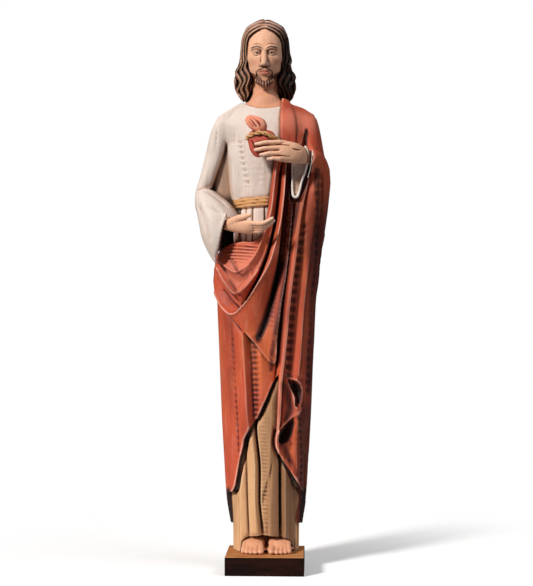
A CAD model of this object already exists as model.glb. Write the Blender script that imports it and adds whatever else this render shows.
# %% [markdown]
# # A carved and painted wooden statue
# The real object is one piece of wood, about a metre tall with its plinth: a robed figure that holds a
# flaming heart. Carvers cut it with gouges, coat it with gesso, and paint and glaze it.
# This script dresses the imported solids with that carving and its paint. Each step starts with a few
# words on what the piece is, how it could be made and why it is made this way.

# %% Load the frame
import math

import bpy
import numpy as np
import openvdb
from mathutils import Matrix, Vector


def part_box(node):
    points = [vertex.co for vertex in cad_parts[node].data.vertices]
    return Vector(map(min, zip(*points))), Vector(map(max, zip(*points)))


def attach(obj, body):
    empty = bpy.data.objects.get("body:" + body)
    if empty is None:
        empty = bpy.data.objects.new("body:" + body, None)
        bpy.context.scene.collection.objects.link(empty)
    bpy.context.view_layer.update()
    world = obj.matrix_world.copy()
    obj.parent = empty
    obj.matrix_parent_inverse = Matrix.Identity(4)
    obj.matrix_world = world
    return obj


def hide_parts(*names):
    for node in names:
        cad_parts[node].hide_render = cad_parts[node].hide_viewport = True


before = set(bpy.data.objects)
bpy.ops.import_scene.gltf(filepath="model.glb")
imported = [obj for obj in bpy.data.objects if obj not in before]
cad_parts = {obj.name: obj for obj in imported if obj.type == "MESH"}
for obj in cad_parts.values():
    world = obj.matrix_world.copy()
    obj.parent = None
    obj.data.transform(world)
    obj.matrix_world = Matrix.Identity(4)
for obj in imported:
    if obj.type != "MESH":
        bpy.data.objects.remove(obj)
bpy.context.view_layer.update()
figure_low, figure_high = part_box("figure")
print("figure box", tuple(figure_low), tuple(figure_high))

# %% [markdown]
# ## Units
# The figure is drawn in thousandths of its own height, with the soles at z = 0 and its back flattened
# at y = 52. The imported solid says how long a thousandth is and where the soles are, so the carving
# always lands on the solid that it replaces.

# %% From figure units to metres
CROWN = 999.0
BACK_PLANE = 52.0
WIDEST_LINE = 25.0
HEM_HALF_WIDTH = 62.0
UNIT = (figure_high.z - figure_low.z) / CROWN
ORIGIN = np.array([0.0, figure_high.y - BACK_PLANE * UNIT, figure_low.z])
QUICK = 1.0
print("one figure unit is", round(UNIT * 1000, 4), "mm")

# %% [markdown]
# ## Curves through a few named sizes
# Widths, depths and folds change smoothly with the height. One helper turns a short list of
# (height, value) pairs into such a curve, flat beyond both ends.


# %% A smooth curve through pairs
def unit(value):
    """The value, kept between zero and one."""
    return np.clip(value, 0, 1)


def profile(pairs):
    """A curve through pairs, as a function of the first number of each."""
    at, value = np.array(sorted(pairs), float).T
    before = np.maximum(np.arange(len(at)) - 1, 0)
    after = np.minimum(np.arange(len(at)) + 1, len(at) - 1)
    slope = (value[after] - value[before]) / (at[after] - at[before])

    def curve(where):
        s = np.clip(where, at[0], at[-1])
        i = np.clip(np.searchsorted(at, s) - 1, 0, len(at) - 2)
        h = at[i + 1] - at[i]
        t = (s - at[i]) / h
        t2, t3 = t * t, t * t * t
        ends = value[i] * (2 * t3 - 3 * t2 + 1) + value[i + 1] * (3 * t2 - 2 * t3)
        return ends + h * (slope[i] * (t3 - 2 * t2 + t) + slope[i + 1] * (t3 - t2))

    return curve


# %% [markdown]
# ## A block of distances
# A carving has soft joins, deep hollows and thousands of small cuts. Modelling that face by face is slow,
# so the wood is a block of numbers instead: each grid point holds its distance from the surface, below
# zero inside. Adding a shape keeps the smaller distance and cutting one away keeps the larger. At the
# end the zero surface is drawn as a mesh. Every paint has its own block of distances, and the paint
# that lies deepest at a point of the surface colours it.

# %% The block and its tools
FAR = 30.0


class Block:
    def __init__(self, low, high, step):
        self.low = np.array(low, float)
        self.step = step * QUICK
        counts = np.ceil((np.array(high, float) - self.low) / self.step).astype(int) + 1
        self.axes = [
            (self.low[i] + self.step * np.arange(counts[i])).astype(np.float32) for i in range(3)
        ]
        self.paints = {}

    def paint(self, name):
        if name not in self.paints:
            shape = [len(a) for a in self.axes]
            self.paints[name] = np.full(shape, FAR, np.float32)
        return self.paints[name]

    def window(self, low, high):
        spans = []
        for i in range(3):
            first = int(np.floor((low[i] - self.low[i]) / self.step))
            last = int(np.ceil((high[i] - self.low[i]) / self.step)) + 1
            spans.append(slice(max(0, first), max(0, min(len(self.axes[i]), last))))
        x = self.axes[0][spans[0]][:, None, None]
        y = self.axes[1][spans[1]][None, :, None]
        z = self.axes[2][spans[2]][None, None, :]
        return tuple(spans), x, y, z

    def all(self):
        return self.window(self.low, self.low + 1e6)


def softly(a, b, soft):
    """The smaller of two distances, with the join rounded over a width."""
    if soft <= 0:
        return np.minimum(a, b)
    mix = np.maximum(soft - np.abs(a - b), 0) / soft
    return np.minimum(a, b) - mix * mix * soft * 0.25


def add(field, spans, shape, soft=0.0):
    field[spans] = softly(field[spans], shape, soft)


def cut(field, spans, shape, soft=0.0):
    field[spans] = -softly(-field[spans], shape, soft)


# %% [markdown]
# ## Tubes and balls
# Fingers, toes, locks of hair and rolls of cloth are tubes whose thickness changes along a curve.
# Each short piece of a tube only touches the grid points near it, which keeps hundreds of them quick.


# %% Shapes to add or cut
def through(points, count):
    """More points on a smooth curve through the given rows of numbers."""
    points = np.array(points, float)
    if len(points) == 2:
        points = np.array([points[0], points.mean(0), points[1]])
    padded = np.vstack([2 * points[0] - points[1], points, 2 * points[-1] - points[-2]])
    out = []
    for i in range(len(points) - 1):
        a, b, c, d = padded[i : i + 4]
        for t in np.arange(count) / count:
            out.append(
                0.5
                * (
                    2 * b + (c - a) * t + (2 * a - 5 * b + 4 * c - d) * t**2 + (
                        3 * b - a - 3 * c + d
                    ) * t**3
                )
            )
    out.append(points[-1])
    return np.array(out)


def tube(block, paint, points, soft=1.5, count=4, carve=False, wide=None, flat=1.0):
    """A tube through rows of x, y, z, radius. "wide" is a direction in which it is 1 / flat times wider."""
    field = block.paint(paint)
    rows = through(points, count)
    axis = None if wide is None else np.array(wide, float) / np.linalg.norm(wide)
    reach = rows[:, 3].max() / flat + soft + 2 * block.step
    for a, b in zip(rows[:-1], rows[1:]):
        low = np.minimum(a[:3], b[:3]) - reach
        high = np.maximum(a[:3], b[:3]) + reach
        spans, x, y, z = block.window(low, high)
        if min(s.stop - s.start for s in spans) < 1:
            continue
        d = [x - a[0], y - a[1], z - a[2]]
        along = b[:3] - a[:3]
        if axis is not None:
            lean = d[0] * axis[0] + d[1] * axis[1] + d[2] * axis[2]
            d = [d[i] + (flat - 1) * lean * axis[i] for i in range(3)]
            along = along + (flat - 1) * (along @ axis) * axis
        length = max(along @ along, 1e-9)
        t = unit((d[0] * along[0] + d[1] * along[1] + d[2] * along[2]) / length)
        gap = sum((d[i] - t * along[i]) ** 2 for i in range(3))
        shape = np.sqrt(gap) - (a[3] + (b[3] - a[3]) * t)
        (cut if carve else add)(field, spans, shape.astype(np.float32), soft)


def turned(angles):
    """A rotation matrix from angles in degrees about x, then y, then z."""
    a, b, c = np.radians(angles)
    about_x = [[1, 0, 0], [0, math.cos(a), -math.sin(a)], [0, math.sin(a), math.cos(a)]]
    about_y = [[math.cos(b), 0, math.sin(b)], [0, 1, 0], [-math.sin(b), 0, math.cos(b)]]
    about_z = [[math.cos(c), -math.sin(c), 0], [math.sin(c), math.cos(c), 0], [0, 0, 1]]
    return np.array(about_z) @ np.array(about_y) @ np.array(about_x)


def ball(block, paint, centre, radii, turn=(0, 0, 0), soft=2.0, carve=False):
    field = block.paint(paint)
    reach = max(radii) + soft + 2 * block.step
    spans, x, y, z = block.window(np.array(centre) - reach, np.array(centre) + reach)
    turn = turned(turn).T
    d = [x - centre[0], y - centre[1], z - centre[2]]
    local = [sum(turn[i][k] * d[k] for k in range(3)) / radii[i] for i in range(3)]
    far = np.sqrt(sum(v * v for v in local))
    grade = np.sqrt(sum((v / radii[i]) ** 2 for i, v in enumerate(local)))
    shape = far * (far - 1) / np.maximum(grade, 1e-6)
    (cut if carve else add)(field, spans, shape.astype(np.float32), soft)


# %% [markdown]
# ## Cross-sections of the robed column
# Under its folds the robe is a column with a D-shaped section: round in front, widest behind the
# middle, nearly flat at the back, as on a plank that was carved from the front. The solid in the frame
# uses the same sections, so the two stay together.

# %% Sections of the tunic and the mantle
FRONT_POWER = 2.15
BACK_POWER = 3.0
BACK_DEPTH = BACK_PLANE - WIDEST_LINE

tunic_half = profile(
    [
        (0, HEM_HALF_WIDTH), (60, HEM_HALF_WIDTH + 1), (130, 67), (300, 74), (480, 79), (600, 66),
        (652, 62), (700, 66), (760, 76), (800, 84), (820, 78), (832, 60), (843, 40), (850, 31),
    ]
)
TUNIC = {
    "left": tunic_half,
    "right": tunic_half,
    "front": profile(
        [
            (0, 45), (100, 55), (250, 66), (400, 71), (560, 71), (652, 69), (740, 75), (790, 70), (820, 60),
            (850, 46),
        ]
    ),
    "back": profile(
        [
            (0, BACK_DEPTH - 3), (700, BACK_DEPTH - 2), (790, BACK_DEPTH - 2), (825, BACK_DEPTH - 7),
            (850, BACK_DEPTH - 17),
        ]
    ),
}
mantle_half = [
    (50, HEM_HALF_WIDTH + 5), (95, 74.5), (170, 79.5), (246, 83.8), (322, 87), (397, 90), (473, 93),
]
MANTLE = {
    "left": profile(
        mantle_half + [
            (540, 92), (590, 80), (652, 66), (760, 78), (800, 86), (826, 70), (836, 54), (848, 42),
        ]
    ),
    "right": profile(
        mantle_half
        + [
            (501, 97), (546, 101), (591, 110), (636, 117), (688, 123), (713, 121), (731, 113), (778, 104),
            (812, 97), (828, 74), (836, 54), (848, 42),
        ]
    ),
    "front": profile(
        [
            (50, 58), (100, 62), (250, 72), (400, 78), (560, 80), (652, 80), (720, 84), (790, 76),
            (822, 64), (848, 50),
        ]
    ),
    "back": profile([(50, BACK_DEPTH), (780, BACK_DEPTH), (820, BACK_DEPTH - 2), (848, BACK_DEPTH - 13)]),
}


def column(block, section, relief, axis=WIDEST_LINE):
    """Distances from a column whose surface stands out of its section by a relief of (level, turn)."""
    x, y, z = block.axes
    shape = np.empty([len(a) for a in block.axes], np.float32)
    half = np.where(x[:, None] < 0, section["left"](z), section["right"](z)).astype(np.float32)
    middle = int(np.searchsorted(y, axis))
    for part, depth, power in (
        (slice(0, middle), section["front"](z), FRONT_POWER),
        (slice(middle, len(y)), section["back"](z), BACK_POWER),
    ):
        across = (np.abs(x)[:, None] / half) ** power
        ahead = (np.abs(axis - y[part])[:, None] / depth.astype(np.float32)) ** power
        share = (across[:, None, :] + ahead[None, :, :]) ** (1 / power)
        radius = np.hypot(x[:, None], (y[part] - axis)[None, :])[:, :, None]
        out = np.maximum(radius * (1 - 1 / np.maximum(share, 1e-3)), -FAR)
        sideways = np.sqrt(across)[:, None, :] * np.sign(x)[:, None, None]
        forward = np.sqrt(ahead)[None, :, :] * np.sign(axis - y[part])[None, :, None]
        turn = np.arctan2(sideways, forward)
        for k in range(len(z)):
            out[:, :, k] -= np.interp(turn[:, :, k], relief.turns, relief.high[k])
        shape[:, part, :] = out
    return shape


# %% [markdown]
# ## Relief drawn on the column
# Folds, grooves and gouge marks are drawn on a map of the column's surface, with one row for each
# level of the block and one column for each direction. A line of the front view becomes a ridge, a
# groove or a row of scoops at the place where it crosses the surface.

# %% The map and its strokes
TURNS = int(1000 / QUICK)


class Relief:
    def __init__(self, section, levels):
        self.section = section
        self.levels = levels.astype(float)
        self.turns = np.linspace(-math.pi, math.pi, TURNS)
        sine, cosine = np.sin(self.turns), np.cos(self.turns)
        ahead = cosine > 0
        power = np.where(ahead, 2 / FRONT_POWER, 2 / BACK_POWER)
        half = np.where(
            sine < 0, section["left"](self.levels)[:, None], section["right"](self.levels)[:, None]
        )
        depth = np.where(
            ahead, section["front"](self.levels)[:, None], section["back"](self.levels)[:, None]
        )
        self.x = half * np.sign(sine) * np.abs(sine) ** power
        self.y = WIDEST_LINE - depth * np.sign(cosine) * np.abs(cosine) ** power
        self.z = np.broadcast_to(self.levels[:, None], self.x.shape)
        steps = np.hypot(np.diff(self.x, axis=1), np.diff(self.y, axis=1))
        self.around = np.concatenate([np.zeros((len(levels), 1)), np.cumsum(steps, axis=1)], axis=1)
        self.around -= self.around[:, TURNS // 2][:, None]
        self.high = np.zeros(self.x.shape)

    def turn_of(self, x, z):
        """The turn at which the section passes x in the front view, for each level."""
        half = np.where(x < 0, self.section["left"](z), self.section["right"](z))
        share = unit(np.abs(x) / half)
        return np.sign(x) * np.arcsin(share ** (FRONT_POWER / 2))

    def across(self, line, behind=False):
        """The distance of every spot from a line that runs down the figure, positive to its right."""
        x = profile([(pz, px) for px, pz in line])(self.levels)
        turn = x if behind else self.turn_of(x, self.levels)
        at = np.array([np.interp(t, self.turns, row) for t, row in zip(turn, self.around)])
        lean = np.gradient(at, self.levels)
        return (self.around - at[:, None]) / np.sqrt(1 + lean * lean)[:, None]

    def along(self, pairs):
        return profile(pairs)(self.levels)[:, None]

    def between(self, low, high, fade):
        return unit((self.z - low) / fade) * unit((high - self.z) / fade)

    def front(self):
        return np.abs(self.turns)[None, :] < math.pi / 2

    def distance(self, line):
        """The distance of every spot from a line of the front view, and how far along it that is."""
        nearest = np.full(self.x.shape, 1e3)
        travelled = np.zeros(self.x.shape)
        passed = 0.0
        points = through(line, 4)
        rows = (self.levels > points[:, 1].min() - 25) & (self.levels < points[:, 1].max() + 25)
        x, z = self.x[rows], self.z[rows]
        near, gone = nearest[rows], travelled[rows]
        for a, b in zip(points[:-1], points[1:]):
            step = b - a
            length = max(math.hypot(*step), 1e-6)
            t = unit(((x - a[0]) * step[0] + (z - a[1]) * step[1]) / length**2)
            gap = np.hypot(x - a[0] - t * step[0], z - a[1] - t * step[1])
            closer = gap < near
            near = np.where(closer, gap, near)
            gone = np.where(closer, passed + t * length, gone)
            passed += length
        nearest[rows], travelled[rows] = near, gone
        nearest[:, ~self.front()[0]] = 1e3
        return nearest, travelled, passed

    def folds(self, guides):
        """Straight facets between lines that run down the figure, each with its own height."""
        places = [profile([(z, x) for x, z in line])(self.levels) for line, _ in guides]
        turns = [self.turn_of(place, self.levels) for place in places]
        highs = [
            profile(high)(self.levels) if isinstance(high, list) else np.full(len(self.levels), float(high))
            for _, high in guides
        ]
        turns, highs = np.array(turns), np.array(highs)
        turns = np.maximum.accumulate(turns + 1e-4 * np.arange(len(guides))[:, None], axis=0)
        side = math.pi / 2
        for k in range(len(self.levels)):
            at = np.concatenate([[-side * 1.05], turns[:, k], [side * 1.05]])
            self.high[k] += np.interp(self.turns, at, np.concatenate([[0], highs[:, k], [0]]))

    def ridge(self, gap, high, width, where=1.0, sharp=1.0):
        self.high += high * np.exp(-np.abs(gap / width) ** (2 * sharp)) * where

    def stroke(self, line, high, width, where=1.0):
        """A ridge along a line of the front view, or a groove where its height is below zero."""
        self.ridge(self.distance(line)[0], high, width, where)

    def fold(self, line, high, width, where=1.0, behind=False):
        """The same along a line that runs down the figure."""
        self.ridge(self.across(line, behind), high, width, where)

    def scoops(self, gap, travelled, high, width, pitch, where=1.0):
        wave = np.abs(np.sin(math.pi * travelled / pitch)) ** 0.8
        self.high -= high * wave * np.exp(-((gap / width) ** 2)) * where

    def blur(self, passes):
        for _ in range(passes):
            padded = np.pad(self.high, ((1, 1), (0, 0)), mode="edge")
            rows = 0.25 * padded[:-2] + 0.5 * padded[1:-1] + 0.25 * padded[2:]
            self.high = 0.25 * np.roll(rows, 1, 1) + 0.5 * rows + 0.25 * np.roll(rows, -1, 1)


# %% [markdown]
# ## Outlines of the front view
# The mantle leaves the breast and the skirt open. A closed outline of the front view, pushed
# through the block, is what the carver saws out there.


# %% Distance from an outline, and the prism behind it
BEYOND = 200.0
EDGE_ROUND = 1.5


def outline_distance(x, z, outline):
    """Distance from a closed outline of the front view, below zero inside."""
    best = np.full(np.broadcast(x, z).shape, 1e6)
    inside = np.zeros(best.shape, bool)
    for (ax, az), (bx, bz) in zip(outline, outline[1:] + outline[:1]):
        dx, dz = bx - ax, bz - az
        t = unit(((x - ax) * dx + (z - az) * dz) / (dx * dx + dz * dz))
        best = np.minimum(best, (x - ax - t * dx) ** 2 + (z - az - t * dz) ** 2)
        crosses = (az > z) != (bz > z)
        if dz != 0:
            inside ^= crosses & (x < ax + (z - az) * dx / dz)
    return np.where(inside, -1, 1) * np.sqrt(best)


def prism(block, outline, near, far):
    x, y, z = block.axes
    flat = outline_distance(x[:, None], z[None, :], outline).astype(np.float32)
    return np.maximum(flat[:, None, :], np.maximum(near - y, y - far)[None, :, None])


def sawn(block, paint, outline, near=-BEYOND, far=BEYOND, soft=EDGE_ROUND):
    """Cuts the outline out of everything that has one paint."""
    block.paints[paint] = -softly(-block.paints[paint], prism(block, outline, near, far), soft)


# %% [markdown]
# ## The tunic
# A long pale tunic covers the breast and shows again as the skirt. On the real carving the breast is
# nearly smooth with shallow gouge marks, a corded belt gathers it into pleats, and the skirt hangs
# in long grooves. It is a column of its own, inside the mantle's.

# %% The body's block and the tunic's relief
body = Block((-139, -84, -1), (129, 55, 862), 1.25)
levels = body.axes[2]
print("body block", [len(a) for a in body.axes])

tunic = Relief(TUNIC, levels)


def fading(high):
    """The skirt's folds die away where the mantle covers them."""
    return [(250, high), (330, 0)]


tunic.folds(
    [
        ([(-56, 180), (-55, 20)], fading(0)),
        ([(-44, 180), (-43, 20)], fading(3)),
        ([(-36.5, 186), (-34.6, 103), (-30.9, 20)], fading(-3.5)),
        ([(-33, 186), (-31, 103), (-28, 20)], fading(1)),
        ([(-25, 229), (-18, 165), (-18, 89), (-12, 20)], fading(4)),
        ([(-19.5, 229), (-12, 165), (-12, 89), (-6, 20)], fading(-7)),
        ([(-14, 235), (-8, 165), (-8, 89), (-2, 20)], fading(-1)),
        ([(9, 300), (8, 251), (4, 178), (3, 123), (4, 20)], fading(2)),
        ([(13, 300), (12, 251), (8, 178), (7, 123), (7, 20)], fading(6)),
        ([(26, 251), (25, 103), (25.5, 20)], fading(1)),
        ([(28.6, 251), (28.3, 103), (29, 20)], fading(-9)),
        ([(31.6, 251), (31.3, 103), (31.5, 20)], fading(-2)),
        ([(34.7, 251), (34.2, 103), (33.8, 20)], [(150, 5), (182, -2), (330, 0)]),
        ([(44, 251), (44, 20)], fading(0)),
        ([(52, 251), (54, 20)], fading(-1)),
    ]
)
tunic.blur(1)

# long grooves of the skirt, cut with a V-gouge after the folds
for top, line, high, width in (
    (330, [(-18, 330), (-17.5, 229), (-10.5, 165), (-10.5, 89), (-4.5, 35), (-4, 5)], -5.5, 2.4),
    (330, [(29, 330), (28.5, 200), (28.5, 103), (29.5, 5)], -7.0, 2.4),
    (186, [(-36, 186), (-34.6, 103), (-31, 5)], -2.2, 2.6),
    (160, [(48, 160), (47, 80), (46, 5)], -1.5, 3.0),
    (130, [(-50, 130), (-49, 80), (-48, 5)], -1.5, 3.0),
    (320, [(34, 330), (34.5, 200), (34.2, 103), (34, 5)], 2.2, 1.6),
    (320, [(-15, 330), (-13, 229), (-6, 165), (-6, 89), (0, 35), (0, 5)], 1.6, 1.6),
    (320, [(-24, 330), (-22, 229), (-17, 165), (-17, 89), (-11, 35), (-11, 5)], 1.4, 1.6),
):
    tunic.fold(line, high, width, tunic.between(-20, top, 30))

# %% [markdown]
# ### Gouge marks
# A shallow gouge leaves rows of small scoops down a valley. The marks repeat every few millimetres, so
# one helper cuts them along a line, with a small wander that keeps them from looking printed.

# %% Rows of gouge marks
chance = np.random.default_rng(7)


def marks(relief, *rows):
    """Scoops down lines of the front view: each row is a line, depth, width, pitch and fade."""
    for line, high, width, pitch, *fade in rows:
        down = -relief.z + 1.3 * np.sin(relief.z / 17.0 + line[0][0])
        where = relief.between(line[-1][1], line[0][1], fade[0] if fade else 12.0)
        relief.scoops(relief.across(line), down, high, width, pitch, where)


# the breast and the skirt
marks(
    tunic,
    ([(-48, 772), (-43, 738), (-37, 705), (-31, 672)], 2.2, 6.0, 10.5),
    ([(-24, 780), (-22, 740), (-18, 690)], 0.6, 5.0, 11.0),
    ([(-56, 800), (-58, 760), (-60, 720)], 0.6, 5.0, 12.0),
    ([(12, 800), (8, 740), (4, 690)], 0.6, 5.0, 12.0),
    ([(-6, 726), (-6, 700), (-6, 676)], 0.8, 6.0, 10.5),
    ([(-2, 300), (-3, 230), (-1, 165), (-3, 89), (-2, 40)], 1.5, 6.5, 7.0),
    ([(-24, 225), (-22, 159), (-22, 104), (-19, 40)], 0.5, 5.0, 7.5),
    ([(19, 290), (17, 230), (17, 150), (16, 40)], 0.6, 5.5, 8.5),
    ([(41, 150), (41, 103), (40, 40)], 0.6, 4.5, 8.0),
)

# the leaf-shaped hollow low in the skirt
LEAF = [
    (12.3, 166), (3, 132), (-5, 104), (-8, 86), (-4, 40), (-2, 4), (6, 4), (6.5, 35), (8, 86), (11, 134),
]
leaf = outline_distance(tunic.x, tunic.z, LEAF)
tunic.high -= 3.2 * unit(0.5 - leaf / 3.0) * tunic.front()
ripple = 0.5 - 0.5 * np.cos(2 * math.pi * tunic.z / 8.5)
tunic.high -= 0.8 * unit(-leaf / 3) * ripple * tunic.front()

# %% [markdown]
# ### The belt and the pleats under it
# The belt is three rounded ridges, one over another. Under it the cloth is gathered into soft pleats
# with narrow, dark cuts between them.

# %% Belt and pleats
BELT_LOW = 642.0
PLEAT_FOOT = 565.0
belt_slope = profile([(-70, -3.5), (0, 0), (14, 2)])(tunic.x)
belt_at = tunic.z - belt_slope - BELT_LOW
for middle, half, high in ((2.6, 3.0, 2.6), (8.6, 2.9, 3.2), (14.2, 2.6, 2.4)):
    tunic.high += tunic.front() * high * unit(1 - ((belt_at - middle) / half) ** 2) ** 0.35
tunic.high -= 2.4 * np.exp(-(((belt_at + 2.5) / 2.2) ** 2)) + 1.0 * np.exp(-(((belt_at - 19) / 2.5) ** 2))

pleats = tunic.between(PLEAT_FOOT - 30, BELT_LOW, 6)
for x, deep in ((-57.5, 2.2), (-47.0, 3.2), (-36.0, 3.6), (-23.5, 5.0), (-0.5, 4.4), (9.0, 2.4)):
    tunic.fold([(x, 650), (x + 0.4, 620), (x - 0.4, 560)], -deep, 1.4, pleats)
for x, high in ((-52, 1.0), (-41.5, 1.2), (-30, 1.0), (-12, 0.8), (4.5, 1.0)):
    tunic.fold([(x, 650), (x, 560)], high, 4.0, pleats)
# soft vertical hollows over the belt, where the cloth puffs out
for x in (-50, -30, -12, 4):
    tunic.fold([(x, 720), (x, 660)], -1.1, 4.5, tunic.between(664, 716, 22))

# %% [markdown]
# ## The mantle
# The mantle wraps the column from the left shoulder to just above the hem. It is carved in long
# straight facets with gouged valleys between them, so it starts from the same fold lines as the
# solid, which the gouge then deepens.

# %% The mantle's facets
mantle = Relief(MANTLE, levels)
STRIP = [
    (85, 745), (75, 685), (68, 655), (63, 627), (58, 592), (53, 549), (44, 477), (38, 409), (32, 352),
    (28, 313), (25, 252), (22, 228),
]
SECOND_ROLL = [(84, 630), (80, 590), (73, 516), (66, 439), (61, 362), (57, 323)]
DARK_VALLEY = [(97, 705), (96, 676), (96, 611), (95, 543), (90, 491), (86, 420), (82, 361), (80, 296)]


def shifted(line, dx):
    return [(x + dx, z) for x, z in line]


mantle.folds(
    [
        ([(-84, 473), (-80, 397), (-76, 322), (-74, 246), (-70, 170), (-64, 95)], 0),
        ([(-72, 480), (-68, 398), (-64, 287), (-60, 194), (-58, 110)], 1),
        ([(-66, 480), (-62, 398), (-56, 306), (-50, 205), (-50, 110)], -2),
        ([(-54, 398), (-50, 306), (-47, 205), (-46, 120)], 1),
        ([(-38, 408), (-34, 341), (-29, 251), (-26, 229)], 7),
        ([(-31, 408), (-27, 341), (-23, 251), (-21, 229)], -9),
        ([(-8, 402), (-6, 330), (-6, 268), (-6, 229)], 0),
        (shifted(STRIP, -16), [(300, -4), (380, -8), (480, -11), (740, -11), (756, 0)]),
        (shifted(STRIP, -6), [(228, -7), (340, -8), (480, -10), (740, -10), (756, 0)]),
        (shifted(STRIP, -2.5), 5),
        (shifted(STRIP, 2.5), 6),
        (shifted(STRIP, 6.5), -7),
        (shifted(SECOND_ROLL, -6), [(320, -3), (500, -4), (560, 0), (640, 10), (700, 12), (750, 0)]),
        (SECOND_ROLL, [(320, 6), (520, 7), (600, 11), (640, 15), (700, 14), (750, 0)]),
        (shifted(SECOND_ROLL, 9), [(320, 3), (560, 5), (640, 14), (700, 13), (750, 0)]),
        (shifted(DARK_VALLEY, -6), [(300, 1), (440, 2), (560, 3), (640, 10), (700, 12), (745, 0)]),
        (DARK_VALLEY, [(300, -5), (430, -8), (600, -7), (680, -3), (710, 6), (745, 0)]),
        (shifted(DARK_VALLEY, 6), [(300, 1), (440, 2), (560, 4), (640, 8), (700, 10), (745, 0)]),
    ]
)
mantle.blur(1)

# %% [markdown]
# ### The raised roll and the gouged valleys
# One narrow roll runs from the cuff down to the tip of the front edge, with a dark cut on each side.
# The valleys beside it carry close rows of scoops, which catch the light as ripples.

# %% Cuts and valleys of the mantle
below = mantle.between(190, 745, 14)
mantle.fold(shifted(STRIP, -6.5), -3.5, 2.2, below)
mantle.fold(shifted(STRIP, 7.0), -4.0, 2.4, below)
mantle.fold(shifted(SECOND_ROLL, 4.5), -2.5, 2.0, mantle.between(320, 560, 25))
mantle.fold([(-70, 398), (-66, 287), (-62, 194), (-60, 120)], -0.9, 2.0, mantle.between(120, 410, 20))
mantle.fold([(-42, 402), (-38, 341), (-34, 251)], -0.9, 2.0, mantle.between(240, 410, 20))

VALLEY_BESIDE_ROLL = [(74, 612), (65, 549), (60, 516), (52, 439), (47, 362), (44, 328)]
COMB = [(-20, 400), (-17, 341), (-16, 290), (-17, 240)]
marks(
    mantle,
    (VALLEY_BESIDE_ROLL, 5.0, 4.6, 15.3),
    (DARK_VALLEY, 6.0, 4.6, 15.3, 20.0),
    (COMB, 3.4, 7.5, 9.6, 8.0),
    ([(-62, 408), (-57, 306), (-50, 205), (-50, 150)], 1.0, 7.5, 11.5),
    ([(-2, 372), (6, 345), (10, 322)], 1.0, 5.0, 9.0),
    ([(84, 560), (76, 480), (70, 400)], 0.6, 5.0, 13.0),
    ([(64, 252), (67, 213), (69, 177), (67, 118)], 3.6, 3.2, 12.8, 5.0),
    ([(56, 215), (52, 190)], 1.6, 6.0, 9.0, 5.0),
    ([(85, 784), (85, 752)], 2.2, 3.4, 6.4, 4.0),
    ([(108, 700), (106, 600), (101, 520)], 0.7, 4.0, 12.0),
)

# %% [markdown]
# ### The swag across the hips
# The mantle's upper edge comes down from the shoulder as a flat band, opens under the hand into
# three rims with hollow channels between them, and swings back up to the hip. Nine strands of points
# follow those rims and channels, and each strand has its own height at seven places along it.

# %% Strands of the swag
SWAG = [
    (
        (2, 2, 1, 1, 1, 2, 4),
        [
            (31, 846), (30, 800), (29, 760), (17, 717), (11, 673), (5, 627), (-2, 596), (-12, 578),
            (-26, 574), (-44, 574), (-63, 572), (-77, 567), (-86, 559), (-92, 556),
        ],
    ),
    (
        (3, 3, 5, 5, 4, 3, 4),
        [
            (32, 846), (31, 800), (30, 760), (19, 717), (13, 673), (8, 627), (-2, 581), (-11, 563),
            (-26, 550), (-41, 545), (-59, 547), (-74, 552), (-86, 552), (-93, 548),
        ],
    ),
    (
        (3.5, 3.5, 8, 10, 11, 8, 6),
        [
            (33, 846), (32, 800), (31.5, 760), (21, 717), (16, 673), (10, 626), (-5, 576), (-13, 554),
            (-24, 536), (-38, 523), (-51, 520), (-66, 530), (-84, 543), (-93, 542),
        ],
    ),
    (
        (3.8, 3.8, 5, 1, -1, 1, 5),
        [
            (36, 846), (38, 800), (37, 760), (27, 715), (21, 669), (15, 622), (4, 570), (-5, 547),
            (-18, 525), (-33, 508), (-50, 503), (-68, 519), (-84, 538), (-93, 536),
        ],
    ),
    (
        (4, 4, 3, 4, 8, 9, 6),
        [
            (37, 846), (42, 800), (41, 760), (29, 715), (23.5, 666), (17, 618), (6, 565), (-4, 537),
            (-17, 513), (-36, 489), (-52, 480), (-68, 501), (-84, 529), (-93, 529),
        ],
    ),
    (
        (4, 4, -5, -9, -8, 1, 6),
        [
            (38, 846), (45, 800), (44, 760), (32, 714), (26.5, 662), (21, 614), (9, 563), (-1, 535),
            (-14, 503), (-34, 468), (-45, 461), (-66, 484), (-84, 513), (-93, 519),
        ],
    ),
    (
        (4, 4, 9, 12, 13, 11, 7),
        [
            (40, 846), (50, 800), (48, 760), (37, 717), (32, 658), (26, 609), (16, 563), (7, 533),
            (-9, 501), (-30, 464), (-51, 442), (-70, 454), (-86, 483), (-93, 508),
        ],
    ),
    (
        (3.5, 3.5, -15, -17, 5, 3, 6),
        [
            (42, 846), (54, 800), (54, 760), (47, 715), (42, 655), (38, 590), (31, 536), (17, 480),
            (-2, 430), (-22, 408), (-46, 422), (-68, 444), (-86, 474), (-93, 497),
        ],
    ),
    (
        (0, 0, 0, 0, 2.5, 3, 5),
        [
            (44, 846), (57.5, 815), (57, 760), (60, 715), (54, 645), (49, 581), (42, 517), (33, 463),
            (24, 399), (17, 350), (-20, 390), (-63, 441), (-85, 470), (-94, 488),
        ],
    ),
]
HEIGHT_STATIONS = (0, 2.2, 3.4, 7, 9.6, 11.4, 13)
BOWS = [1.9, 1.9, 1.4, 1.9, 1.6, 1.9, 1.0, 1.3]

lines = np.array([through(line, 60) for _, line in SWAG])
station = np.linspace(0, len(SWAG[0][1]) - 1, lines.shape[1])
heights = np.array([np.interp(station, HEIGHT_STATIONS, high) for high, _ in SWAG])
share = np.linspace(0, 1, 90)[:, None]


def bowed(k, low, high):
    """Heights from one strand to the next: steep at the rim and flat in the channel."""
    rising = low + (high - low) * share ** BOWS[k]
    falling = high + (low - high) * (1 - share) ** BOWS[k]
    return np.where(high > low, rising, falling)


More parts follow.
